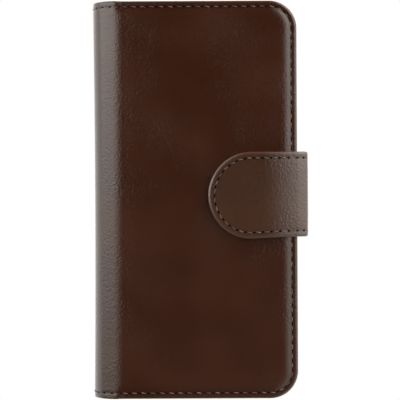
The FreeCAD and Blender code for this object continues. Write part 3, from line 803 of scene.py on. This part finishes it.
# %% Sew the covers and the strap
front_row = [cover_row(front_start, STITCH_INSET)]
back_row = [cover_row(back_start, STITCH_INSET)]
tip_row = [end_row(STRAP_STITCH_INSET)]
root_rows = [[(s, side * (strap_half - STRAP_STITCH_INSET))
              for s in spread(strap_middle, tail_start - 0.8 * MM, 1 * MM)] for side in (-1, 1)]

front_thread = sew("front_cover_stitches", front_row, cover_place(1),
                   lambda u, y: front_face(u, STITCH_INSET), COVER_PITCH)
back_thread = sew("back_cover_stitches", back_row, cover_place(-1),
                  lambda u, y: back_face(u, STITCH_INSET) + 0.1 * MM, COVER_PITCH)
front_inner_thread = sew("front_lining_stitches", front_row, cover_place(1),
                         inside_depth, COVER_PITCH, outward=-1)
back_inner_thread = sew("back_lining_stitches", back_row, cover_place(-1),
                        lambda u, y: back_depth(u, y) - 0.1 * MM, COVER_PITCH, outward=-1)
tip_thread = sew("strap_end_stitches", tip_row, strap_place,
                 lambda s, y: strap_face(s, STRAP_STITCH_INSET), STRAP_PITCH)
root_thread = sew("strap_root_stitches", root_rows, strap_place,
                  lambda s, y: strap_face(s, STRAP_STITCH_INSET), STRAP_PITCH)
tip_inner_thread = sew("strap_end_inner_stitches", tip_row, strap_place,
                       lambda s, y: strap_depth(s), STRAP_PITCH, outward=-1)
print("front row", len(front_thread.data.polygons), "faces")

# %% [markdown]
# ## The pad
# A thin sheet of foam between the front board and the leather makes the front feel soft. The
# row of stitches flattens its margin, so the pad is thickest in the middle. It is made from the
# same drawing as the leather over it, so the two always touch.

# %% Make the foam pad
PAD = way_round(
    ("face", 0.72, 9.4, 5.4, 4.2, 3.0), ("face", 0.73, 2.0), ("face", 0.76, 1.2),
    ("face", 0.83, 0.5), ("face", 0.93, 0.15), ("face", 1.08, 0.0), ("under", -1.85, 0.0),
    ("under", -1.72, 0.15), ("under", -1.7, 0.5, 4, 9.4))
foam_pad = cover_mesh("front_foam_pad", cover_place(1), front_face, front_depth, PAD,
                      0.2 * MM, 1.1 * MM)
print("pad", len(foam_pad.data.vertices), "vertices")

# %% [markdown]
# ## Pockets
# One large pocket for notes and three card pockets whose mouths step down. Each is a plain
# panel with a line creased beside its edge, which stiffens it and marks the fold. The rings
# here are the panel's own outline drawn smaller and smaller.

# %% Make the pockets
POCKET_PROFILE = [
    (4 * MM, 0.0), (1.95 * MM, 0.0), (1.7 * MM, 0.05 * MM), (1.55 * MM, 0.09 * MM),
    (1.4 * MM, 0.05 * MM), (1.15 * MM, 0.0), (0.5 * MM, 0.0), (0.2 * MM, 0.04 * MM),
    (0.06 * MM, 0.11 * MM), (0.0, 0.22 * MM),
]


def pocket_mesh(node, top_corner, name):
    """A panel in the place of a CAD pocket, with its creased face towards the phone."""
    low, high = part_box(node)
    small, foot = 0.8 * MM, corner_radius - (fore_x - high.x)
    corners = [(low.x, low.y, small, 180), (high.x, low.y, foot, 270),
               (high.x, high.y, foot if top_corner else small, 0), (low.x, high.y, small, 90)]
    vertices, marks, faces, rings = [], [], [], []
    back = [(inset, high.z - low.z - drop) for inset, drop in reversed(POCKET_PROFILE)]
    for inset, lift in POCKET_PROFILE + back:
        ring = []
        for x, y, radius, first in corners:
            left, bottom = x == low.x, y == low.y
            middle = (x + (radius if left else -radius), y + (radius if bottom else -radius))
            for step in range(11):
                angle = math.radians(first + 9 * step)
                reach = max(radius - inset, 0.0)
                shift = max(inset - radius, 0.0)
                point = (middle[0] + reach * math.cos(angle) + (shift if left else -shift),
                         middle[1] + reach * math.sin(angle) + (shift if bottom else -shift))
                ring.append(len(vertices))
                vertices.append(Vector((*point, low.z + lift)))
                # On a pocket the seam mask is its crease, which the leather darkens as painted
                # shade.
                marks.append(((point[0], point[1], lift), 1 - ease(inset, 0.1 * MM, 0.9 * MM),
                              math.exp(-((inset - 1.55 * MM) / (0.22 * MM)) ** 2)))
        rings.append(ring + ring[:1])
    for first, second in zip(rings, rings[1:]):
        quads(first, second, faces)
    faces += [rings[0][:-1], rings[-1][:-1]]
    piece = finish_mesh(name, vertices, faces, marks)
    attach(piece, "front_cover")
    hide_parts(node)
    return piece


pockets = [pocket_mesh("bill_pocket", True, "note_pocket_panel")]
pockets += [pocket_mesh(f"card_pocket_{number}", False, f"card_pocket_panel_{number}")
            for number in (1, 2, 3)]
side_insets = (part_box("pocket_stitching")[0].x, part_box("pocket_stitching")[1].x)
pocket_rows = [[(x, y) for y in spread(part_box("pocket_stitching")[0].y,
                                       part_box("card_pocket_3")[1].y - 0.5 * MM, 20 * MM)]
               for x in side_insets]
pocket_thread = sew("pocket_stitches", pocket_rows, lambda x, y, depth: Vector((x, y, -depth)),
                    lambda x, y: -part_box("card_pocket_3")[0].z - 0.04 * MM, COVER_PITCH, -1)
print("pockets", [piece.name for piece in pockets])

# %% [markdown]
# ## Which piece follows which part
# The covers, linings and strap pieces keep the shape they were built in, and the CAD parts
# they stand for are hidden. The foam pad and the pocket stitches ride on the front cover. The
# hard pieces simply ride on their part.

# %% Attach the pieces
def bent(piece, span, stands_for):
    """Bake the piece's transform and hide the CAD parts it stands for. The span is not used."""
    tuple(span[0])
    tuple(span[1])
    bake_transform(piece)
    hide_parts(*stands_for)


def strap_point(s):
    return strap_place(s, 0, strap_thickness / 2)


HIGH_BEND = (strap_point(side_start + 1.2 * MM), strap_point(top_run - 1.2 * MM))
LOW_BEND = (strap_point(tail_start + 1.2 * MM), strap_point(low_bend_start - 1.2 * MM))

bent(front_skin, FRONT_BEND, ["front_leather", "spine_leather"])
bent(back_skin, BACK_BEND, ["back_leather"])
bent(front_inside, FRONT_BEND,
     ["front_lining", "front_hinge_lining", "spine_lining"])
bent(back_inside, BACK_BEND, ["back_lining", "back_hinge_lining"])
bent(front_thread, FRONT_BEND, ["front_stitching", "spine_stitching"])
bent(front_inner_thread, FRONT_BEND, [])
bent(back_thread, BACK_BEND, ["back_stitching"])
bent(back_inner_thread, BACK_BEND, [])
bent(tip_skin, HIGH_BEND, ["tip_leather"])
bent(tip_inside, HIGH_BEND, ["tip_lining"])
bent(tip_thread, HIGH_BEND, ["tip_stitching"])
bent(tip_inner_thread, HIGH_BEND, [])
bent(root_skin, LOW_BEND, ["strap_root_leather", "side_leather"])
bent(root_inside, LOW_BEND, ["strap_root_lining", "side_lining"])
bent(root_thread, LOW_BEND, ["side_stitching"])
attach(foam_pad, "front_cover")
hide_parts("front_foam")
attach(pocket_thread, "front_cover")
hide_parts("pocket_stitching")

# %% [markdown]
# ## Surfaces
# Every finish is worked out from the flat drawing, never from a picture. Three effects are
# shared as groups: the pores of leather, the fine lines that polishing leaves, and the edges:
# wear with a painted highlight on the rim, and painted shade in the stitch channel. They are
# groups so that a change in one place reaches every piece of leather.

# %% Helpers for materials
def add(tree, kind, inputs=None, **settings):
    """Add a shader node. Each input is a constant or another node's output."""
    made = tree.nodes.new("ShaderNode" + kind)
    for name, value in settings.items():
        setattr(made, name, value)
    for name, value in (inputs or {}).items():
        if isinstance(value, bpy.types.NodeSocket):
            tree.links.new(value, made.inputs[name])
        else:
            made.inputs[name].default_value = value
    return made


def new_group(name, inputs, outputs):
    """An empty shader group: inputs are (name, kind, default), outputs are (name, kind)."""
    group = bpy.data.node_groups.new(name, "ShaderNodeTree")
    for label, kind, default in inputs:
        socket = group.interface.new_socket(label, in_out="INPUT", socket_type="NodeSocket" + kind)
        socket.default_value = default
    for label, kind in outputs:
        group.interface.new_socket(label, in_out="OUTPUT", socket_type="NodeSocket" + kind)
    return group, group.nodes.new("NodeGroupInput").outputs, group.nodes.new("NodeGroupOutput")


def flat_place(group):
    """The flat drawing's coordinates in millimetres."""
    flat = add(group, "Attribute", attribute_name="flat").outputs["Vector"]
    return add(group, "VectorMath", {0: flat, "Scale": 1000.0}, operation="SCALE").outputs[0]


def math_node(group, operation, first, second=0.0):
    return add(group, "Math", {0: first, 1: second}, operation=operation).outputs[0]


def mix_colour(group, share, first, second):
    return add(group, "Mix", {0: share, 6: first, 7: second}, data_type="RGBA").outputs[2]


def mix_value(group, share, first, second):
    return add(group, "Mix", {0: share, 2: first, 3: second}).outputs[0]


print("the flat drawing spans", [round(value / MM, 1) for value in (panel_width, half_length)],
      "mm from the hinge and the middle")


# %% [markdown]
# ### Leather grain
# Pebbles about half a millimetre across with narrow valleys between them. Real grain is tighter
# in some places than in others, so a slow noise fades it in and out across the skin.

# %% Leather grain group
grain, given, result = new_group(
    "leather_grain", [("Size", "Float", 0.5), ("Patchiness", "Float", 0.6)],
    [("Height", "Float"), ("Tone", "Float")])
spot = flat_place(grain)
wobble = add(grain, "TexNoise", {"Vector": spot, "Scale": 1.1, "Detail": 2.0})
shaken = add(grain, "VectorMath", {0: wobble.outputs["Color"], 1: (0.5, 0.5, 0.5),
                                   2: spot}, operation="MULTIPLY_ADD").outputs[0]
cells = math_node(grain, "DIVIDE", 1.0, given["Size"])
pebbles = add(grain, "TexVoronoi", {"Vector": shaken, "Scale": cells}, feature="SMOOTH_F1")
pores = add(grain, "TexNoise", {"Vector": spot, "Scale": 4.2, "Detail": 3.0})
patches = add(grain, "TexNoise", {"Vector": spot, "Scale": 0.06, "Detail": 2.0})
strength = add(grain, "MapRange", {"Value": patches.outputs["Fac"], "From Min": 0.35,
                                   "From Max": 0.65, "To Min": 1.0, "To Max": 0.25})
height = math_node(grain, "SUBTRACT", 1.0, pebbles.outputs["Distance"])
height = math_node(grain, "ADD", height, math_node(grain, "MULTIPLY", pores.outputs["Fac"], 0.35))
patchy = mix_value(grain, given["Patchiness"], 1.0, strength.outputs["Result"])
grain.links.new(math_node(grain, "MULTIPLY", height, patchy), result.inputs["Height"])
grain.links.new(patches.outputs["Fac"], result.inputs["Tone"])
print("group", grain.name)

# %% [markdown]
# ### Polishing lines
# A waxed face is rubbed in one direction, across the case. That leaves hair lines which break
# up a reflection a little. They are a noise stretched forty times along the rubbing direction.

# %% Polishing lines group
lines, given, result = new_group("polishing_lines", [("Amount", "Float", 1.0)],
                                 [("Height", "Float"), ("Gloss", "Float")])
spot = flat_place(lines)
long_spot = add(lines, "VectorMath", {0: spot, 1: (0.05, 2.2, 0.3)}, operation="MULTIPLY")
hairs = add(lines, "TexNoise", {"Vector": long_spot.outputs[0], "Scale": 1.6, "Detail": 4.0,
                                "Roughness": 0.7})
where = add(lines, "TexNoise", {"Vector": spot, "Scale": 0.035, "Detail": 1.0})
shown = add(lines, "MapRange", {"Value": where.outputs["Fac"], "From Min": 0.42,
                                "From Max": 0.6, "To Min": 0.15, "To Max": 1.0})
amount = math_node(lines, "MULTIPLY", given["Amount"], shown.outputs["Result"])
lines.links.new(math_node(lines, "MULTIPLY", hairs.outputs["Fac"], amount),
                result.inputs["Height"])
lines.links.new(math_node(lines, "MULTIPLY", where.outputs["Fac"], given["Amount"]),
                result.inputs["Gloss"])
print("group", lines.name)

# %% [markdown]
# ### Worn edges, a painted highlight and painted shade
# Handling rubs the dye off a turned edge, so it goes paler; the paler rim is also a painted
# highlight, where the rounded edge catches the light. The stitch channel is painted darker as
# painted shade in the groove. Both follow masks that were stored with the mesh.

# %% Edge wear group
wear_sheen_shade, given, result = new_group(
    "edge_wear_sheen_shade",
    [("Colour", "Color", (0.05, 0.02, 0.01, 1)), ("Worn colour", "Color", (0.1, 0.05, 0.03, 1)),
     ("Wear", "Float", 0.5), ("Dirt", "Float", 0.5), ("Tone", "Float", 0.5)],
    [("Colour", "Color"), ("Rub and sheen", "Float")])
spot = flat_place(wear_sheen_shade)
ragged = add(wear_sheen_shade, "TexNoise", {"Vector": spot, "Scale": 0.9, "Detail": 4.0})
rim = add(wear_sheen_shade, "Attribute", attribute_name="rim").outputs["Fac"]
seam = add(wear_sheen_shade, "Attribute", attribute_name="seam").outputs["Fac"]
# The paler rim is wear, and also a painted highlight where the rounded edge catches the light.
rub_and_sheen = math_node(wear_sheen_shade, "MULTIPLY", math_node(wear_sheen_shade, "MULTIPLY", rim, given["Wear"]),
                math_node(wear_sheen_shade, "ADD", ragged.outputs["Fac"], 0.5))
# Painted shade: the stitch channel is darkened towards near-black.
channel_shade = math_node(wear_sheen_shade, "MULTIPLY", seam, given["Dirt"])
toned = add(wear_sheen_shade, "HueSaturation", {"Color": given["Colour"], "Value": math_node(
    wear_sheen_shade, "ADD", 0.9, math_node(wear_sheen_shade, "MULTIPLY", given["Tone"], 0.2))})
channel_shaded = mix_colour(wear_sheen_shade, channel_shade, toned.outputs["Color"], (0.004, 0.0015, 0.0008, 1))
wear_sheen_shade.links.new(mix_colour(wear_sheen_shade, rub_and_sheen, channel_shaded, given["Worn colour"]), result.inputs["Colour"])
wear_sheen_shade.links.new(rub_and_sheen, result.inputs["Rub and sheen"])
print("group", wear_sheen_shade.name)

# %% [markdown]
# ### Twisted thread
# Waxed thread is two or three yarns laid together, so its surface runs in slanting ridges.

# %% Thread group
twist, given, result = new_group("twisted_thread", [("Ridges per mm", "Float", 2.2)],
                                 [("Height", "Float"), ("Fuzz", "Float")])
spot = flat_place(twist)
parts = add(twist, "SeparateXYZ", {0: spot}).outputs
slant = math_node(twist, "ADD", parts["X"], math_node(twist, "MULTIPLY", parts["Y"], 0.8))
turns = math_node(twist, "MULTIPLY", slant, given["Ridges per mm"])
ridge = math_node(twist, "SINE", math_node(twist, "MULTIPLY", turns, 6.2832))
twist.links.new(ridge, result.inputs["Height"])
fibre = add(twist, "TexNoise", {"Vector": spot, "Scale": 6.0, "Detail": 2.0})
twist.links.new(fibre.outputs["Fac"], result.inputs["Fuzz"])
print("group", twist.name)

# %% [markdown]
# ### The leathers
# One dye, four finishes: a semi-gloss cover, a strap of the same leather that is handled more,
# a duller lining and the pockets, whose gloss comes from a thin clear coat. The strap's paler base
# colour is partly painted sheen. Waxed leather has no coat of its own: its gloss is the wax in its
# pores, so there it is the surface that is smooth.

# %% Start a material
def new_material(name):
    material = bpy.data.materials.new(name)
    material.use_nodes = True
    material.node_tree.nodes.clear()
    tree = material.node_tree
    shader = tree.nodes.new("ShaderNodeBsdfPrincipled")
    surface = tree.nodes.new("ShaderNodeOutputMaterial")
    tree.links.new(shader.outputs[0], surface.inputs[0])
    return material, tree, shader


def use_group(tree, group, **values):
    made = tree.nodes.new("ShaderNodeGroup")
    made.node_tree = group
    for label, value in values.items():
        made.inputs[label.replace("_", " ")].default_value = value
    return made


print("groups to use:", [group.name for group in bpy.data.node_groups])

# %% [markdown]
# ### Mixing a leather
# The same recipe gives each leather: pebbles and polishing lines for its relief, and for its
# colour a worn rim with a painted highlight and painted shade in the stitch channel. Only the
# amounts differ.

# %% Leathers
def leather(name, colour, rim_wear_sheen, size, patchiness, polish, rough, grain_height, wear_sheen_share,
            shade_share=0.5, coat=0.0, specular=0.5):
    """A finish of leather: size and grain_height are the pebbles', in millimetres and metres."""
    material, tree, shader = new_material(name)
    pebbled = use_group(tree, grain, Size=size, Patchiness=patchiness)
    lined = use_group(tree, lines, Amount=polish)
    # The rim colour is wear with a painted highlight; the channel share is painted shade.
    edged = use_group(tree, wear_sheen_shade, Colour=(*colour, 1), Worn_colour=(*rim_wear_sheen, 1), Wear=wear_sheen_share,
                      Dirt=shade_share)
    streaked = math_node(tree, "MULTIPLY", lined.outputs["Height"], 2.2)
    tree.links.new(math_node(tree, "ADD", streaked, pebbled.outputs["Tone"]),
                   edged.inputs["Tone"])
    tree.links.new(edged.outputs["Colour"], shader.inputs["Base Color"])
    sheen = math_node(tree, "ADD", rough - 0.05, math_node(tree, "MULTIPLY",
                                                           lined.outputs["Gloss"], 0.1))
    tree.links.new(sheen, shader.inputs["Roughness"])
    shader.inputs["Coat Weight"].default_value = coat
    shader.inputs["Coat Roughness"].default_value = rough * 0.8
    shader.inputs["Specular IOR Level"].default_value = specular
    fine = add(tree, "Bump", {"Height": lined.outputs["Height"], "Strength": 0.35,
                              "Distance": 0.00004})
    bump = add(tree, "Bump", {"Height": pebbled.outputs["Height"], "Strength": 1.0,
                              "Distance": grain_height, "Normal": fine.outputs[0]})
    tree.links.new(bump.outputs[0], shader.inputs["Normal"])
    return material


cover_leather = leather(
    "cover_leather", colour=(0.0194, 0.0038, 0.0003), rim_wear_sheen=(0.05, 0.022, 0.013), size=0.8,
    patchiness=0.9, polish=1.0, rough=0.2, grain_height=0.06 * MM, wear_sheen_share=0.35,
    shade_share=0.85)
# The strap's base colour is paler than the cover's; part of that is painted sheen, for the gloss
# the strap shows.
strap_leather = leather(
    "strap_leather", colour=(0.0268, 0.0088, 0.0036), rim_wear_sheen=(0.070, 0.034, 0.023), size=0.8,
    patchiness=0.9, polish=0.6, rough=0.22, grain_height=0.06 * MM, wear_sheen_share=0.6,
    specular=0.62)
lining_leather = leather(
    "lining_leather", colour=(0.045, 0.020, 0.012), rim_wear_sheen=(0.06, 0.03, 0.02), size=0.7,
    patchiness=0.3, polish=0.2, rough=0.6, grain_height=0.05 * MM, wear_sheen_share=0.4)
pocket_leather = leather(
    "pocket_leather", colour=(0.030, 0.012, 0.007), rim_wear_sheen=(0.012, 0.005, 0.003), size=0.5,
    patchiness=0.5, polish=0.6, rough=0.42, grain_height=0.03 * MM, wear_sheen_share=0.9, coat=0.3)
print([material.name for material in bpy.data.materials if "leather" in material.name])

# %% [markdown]
# ### Thread
# The thread is as dark as the leather, and tan where rubbing has cleared it, which is never even
# along a row. A noise about as coarse as a stitch chooses the rubbed ones, and the fuzz of the
# fibres breaks them up.

# %% Thread and needle holes
thread, tree, shader = new_material("waxed_thread")
wound = use_group(tree, twist, Ridges_per_mm=2.2)
rubbed = add(tree, "MapRange", {"Value": add(tree, "TexNoise", {
    "Vector": add(tree, "TexCoord").outputs["Object"], "Scale": 450.0}).outputs["Fac"],
    "From Min": 0.42, "From Max": 0.62}).outputs["Result"]
tan = mix_colour(tree, math_node(tree, "MULTIPLY", wound.outputs["Fuzz"], rubbed),
                 (0.028, 0.013, 0.0075, 1), (0.19, 0.115, 0.075, 1))
tree.links.new(tan, shader.inputs["Base Color"])
shader.inputs["Roughness"].default_value = 0.55
ridges = add(tree, "Bump", {"Height": wound.outputs["Height"], "Strength": 0.6,
                            "Distance": 0.00004})
tree.links.new(ridges.outputs[0], shader.inputs["Normal"])

# Painted shade: the needle hole's near-black colour stands for the shade inside a real hole.
needle_hole_shade, tree, shader = new_material("needle_hole_shade")
wound = use_group(tree, twist, Ridges_per_mm=1.0)
deep = mix_colour(tree, wound.outputs["Fuzz"], (0.0015, 0.0008, 0.0006, 1),
                  (0.004, 0.002, 0.001, 1))
tree.links.new(deep, shader.inputs["Base Color"])
shader.inputs["Roughness"].default_value = 0.9
shader.inputs["Specular IOR Level"].default_value = 0.0


print([material.name for material in (thread, needle_hole_shade)])

# %% [markdown]
# ### Finishes in two tones
# The hidden parts get the finish they have in the hand: grey-brown bonded board, fine foam cells,
# a clear gum, a matt moulded tray and two small plated metal discs. Each is a fine fleck of one
# tone in another, with a slow cloud over it. Stretched one way, the fleck gives the board its lay
# and the steel its brushing.

# %% Board, foam, tray and metal
def speckled(name, first, second, scale, rough, height, stretch=(1, 1, 1), metal=0.0, bump=0.5):
    """A two-tone procedural finish: scale is in features per millimetre."""
    material, tree, shader = new_material(name)
    place = add(tree, "TexCoord").outputs["Object"]
    near = add(tree, "VectorMath", {0: place, 1: tuple(1000 * part for part in stretch)},
               operation="MULTIPLY").outputs[0]
    fleck = add(tree, "TexNoise", {"Vector": near, "Scale": scale, "Detail": 5.0,
                                   "Roughness": 0.65})
    cloud = add(tree, "TexNoise", {"Vector": near, "Scale": scale * 0.07, "Detail": 2.0})
    tone = math_node(tree, "MULTIPLY", fleck.outputs["Fac"], math_node(
        tree, "ADD", cloud.outputs["Fac"], 0.5))
    tree.links.new(mix_colour(tree, tone, (*first, 1), (*second, 1)), shader.inputs["Base Color"])
    tree.links.new(math_node(tree, "ADD", rough - 0.06, math_node(
        tree, "MULTIPLY", cloud.outputs["Fac"], 0.12)), shader.inputs["Roughness"])
    shader.inputs["Metallic"].default_value = metal
    made = add(tree, "Bump", {"Height": fleck.outputs["Fac"], "Strength": bump,
                              "Distance": height})
    tree.links.new(made.outputs[0], shader.inputs["Normal"])
    return material


board = speckled("bonded_board", (0.16, 0.12, 0.085), (0.38, 0.31, 0.23), 1.4, 0.85, 0.0001,
                 (1, 0.4, 1))
foam = speckled("closed_cell_foam", (0.05, 0.05, 0.05), (0.16, 0.16, 0.16), 3.0, 0.9, 0.0001)
gum = speckled("mounting_gum", (0.45, 0.43, 0.38), (0.75, 0.73, 0.68), 0.3, 0.35, 0.0002)
tray_skin = speckled("tray_elastomer", (0.010, 0.0095, 0.009), (0.026, 0.025, 0.024), 2.5, 0.5,
                     0.00002)
steel = speckled("brushed_steel", (0.30, 0.30, 0.31), (0.62, 0.62, 0.63), 2.0, 0.35, 0.00001,
                 (0.1, 3, 1), 1.0)
nickel = speckled("nickel_plate", (0.55, 0.54, 0.52), (0.8, 0.79, 0.77), 0.4, 0.2, 0.00001,
                  (1, 1, 1), 1.0)
print(len(bpy.data.materials), "materials")

# %% [markdown]
# ## Dress every piece
# Each piece gets one finish, by what it is made of. Nothing keeps the plain CAD colour.

# %% Assign the materials
def dress(piece, material):
    piece.data.materials.clear()
    piece.data.materials.append(material)


for piece in (front_skin, back_skin):
    dress(piece, cover_leather)
for piece in (tip_skin, root_skin):
    dress(piece, strap_leather)
for piece in (front_inside, back_inside, tip_inside, root_inside):
    dress(piece, lining_leather)
for piece in pockets:
    dress(piece, pocket_leather)
for piece in (front_thread, back_thread, front_inner_thread, back_inner_thread, tip_thread,
              root_thread, tip_inner_thread, pocket_thread):
    piece.data.materials[0] = thread
    piece.data.materials[1] = needle_hole_shade
dress(foam_pad, foam)
for node, material in (("back_board", board), ("front_board", board), ("spine_stiffener", board),
                       ("tip_core", board), ("tray_adhesive", gum), ("phone_tray", tray_skin),
                       ("catch_plate", steel), ("tip_magnet", nickel)):
    dress(frame["nodes"][node], material)

# %% [markdown]
# ## The table
# The case lies on a white table that shows only as a pale sheen in the leather. The camera looks
# past it to plain white, because the case can fold open to below the table's height and must
# still be seen there, and from below. Mixing in a transparent shader does that: rays from the
# camera, from under the table, or from leather that rests on it go straight through.

# %% Table
TABLE_GLOW = 0.6
RESTS_ON_IT = 3 * MM
table_mesh = bpy.data.meshes.new("table")
table_mesh.from_pydata([(-3, -3, 0), (3, -3, 0), (3, 3, 0), (-3, 3, 0)], [], [(0, 1, 2, 3)])
table = bpy.data.objects.new("table", table_mesh)
bpy.context.scene.collection.objects.link(table)
table.location.z = -0.1 * MM
paper, tree, shader = new_material("white_paper")
fleck = add(tree, "TexNoise", {"Scale": 400.0, "Detail": 2.0})
tree.links.new(mix_colour(tree, fleck.outputs["Fac"], (0.86, 0.86, 0.86, 1), (0.9, 0.9, 0.9, 1)),
               shader.inputs["Base Color"])
shader.inputs["Roughness"].default_value = 0.9
shader.inputs["Specular IOR Level"].default_value = 0.1
shader.inputs["Emission Color"].default_value = (1, 1, 1, 1)
shader.inputs["Emission Strength"].default_value = TABLE_GLOW
path = add(tree, "LightPath").outputs
past = math_node(tree, "MAXIMUM", add(tree, "NewGeometry").outputs["Backfacing"],
                 math_node(tree, "MAXIMUM", path["Is Camera Ray"],
                           math_node(tree, "LESS_THAN", path["Ray Length"], RESTS_ON_IT)))
clear = tree.nodes.new("ShaderNodeBsdfTransparent")
blend = tree.nodes.new("ShaderNodeMixShader")
for source, socket in ((past, 0), (shader.outputs[0], 1), (clear.outputs[0], 2)):
    tree.links.new(source, blend.inputs[socket])
tree.links.new(blend.outputs[0], tree.nodes["Material Output"].inputs["Surface"])
dress(table, paper)
print("table", [round(side, 1) for side in table.dimensions], "m")

# %% [markdown]
# ## The light
# Two long soft lights hang beside the case, one on each side. Straight above is dark, so the flat
# face shows its own brown while everything that leans shows a pale sheen. Lamps could make them,
# but a world that is bright in some directions has no edges or falloff to place. A direction's X
# and Y run from -1 to 1: an X of 0.42 is 25 degrees off the upright, and 1 is level.

# %% Light
world = bpy.data.worlds.new("studio")
bpy.context.scene.world = world
world.use_nodes = True
tree = world.node_tree
tree.nodes.clear()
way = add(tree, "SeparateXYZ", {0: add(tree, "TexCoord").outputs["Generated"]}).outputs


def ramp(value, start, end, low, high):
    """A smooth step from low, where value is start, to high, where it is end."""
    return add(tree, "MapRange", {"Value": value, "From Min": start, "From Max": end,
                                  "To Min": low, "To Max": high},
               interpolation_type="SMOOTHSTEP").outputs["Result"]


LEFT_LIGHT, RIGHT_LIGHT = 2.9, 3.25
left_side = ramp(way["X"], -0.10, -0.42, 0.0, LEFT_LIGHT)
right_side = ramp(way["X"], 0.09, 0.45, 0.0, RIGHT_LIGHT)
aside = math_node(tree, "ABSOLUTE", way["Y"])
left_length = math_node(tree, "MULTIPLY", ramp(way["Y"], -0.32, 0.32, 0.1, 1.9),
                        ramp(aside, 0.22, 0.45, 1.0, 0.3))
right_length = math_node(tree, "MULTIPLY", ramp(way["Y"], -0.2, 0.16, 0.35, 1.2),
                         ramp(aside, 0.25, 0.5, 1.0, 1.4))
both_sides = math_node(tree, "ADD", math_node(tree, "MULTIPLY", left_side, left_length),
                       math_node(tree, "MULTIPLY", right_side, right_length))
low_down = ramp(math_node(tree, "ABSOLUTE", way["X"]), 0.94, 1.0, 1.0, 0.85)
sky = math_node(tree, "ADD", math_node(tree, "MULTIPLY", both_sides, low_down),
                ramp(way["Y"], 0.08, -0.16, 0.0, 0.16))
seen = add(tree, "LightPath").outputs["Is Camera Ray"]
strength = mix_value(tree, seen, sky, 1.0)
background = add(tree, "Background", {"Strength": strength})
tree.links.new(mix_colour(tree, seen, (1.0, 0.97, 0.91, 1), (1, 1, 1, 1)), background.inputs[0])
surface = tree.nodes.new("ShaderNodeOutputWorld")
tree.links.new(background.outputs[0], surface.inputs[0])
print("lights", LEFT_LIGHT, RIGHT_LIGHT)

# %% [markdown]
# ## The camera
# It looks straight down from about half a metre with a long lens, so that the case's sides
# hardly show and its outline keeps its true proportions.

# %% Camera
CAMERA_HEIGHT = 0.55
camera_data = bpy.data.cameras.new("camera")
camera_data.lens = 131.15
camera_data.sensor_width = 36
camera_data.clip_start, camera_data.clip_end = 0.05, 10
camera = bpy.data.objects.new("camera", camera_data)
bpy.context.scene.collection.objects.link(camera)
camera.location = (2.18 * MM, -0.1 * MM, closed + CAMERA_HEIGHT)
camera.rotation_euler = (0, 0, math.radians(-0.29))
bpy.context.scene.camera = camera
bpy.context.scene.view_settings.view_transform = "Standard"
print("camera", [round(value, 3) for value in camera.location], "lens", camera_data.lens)
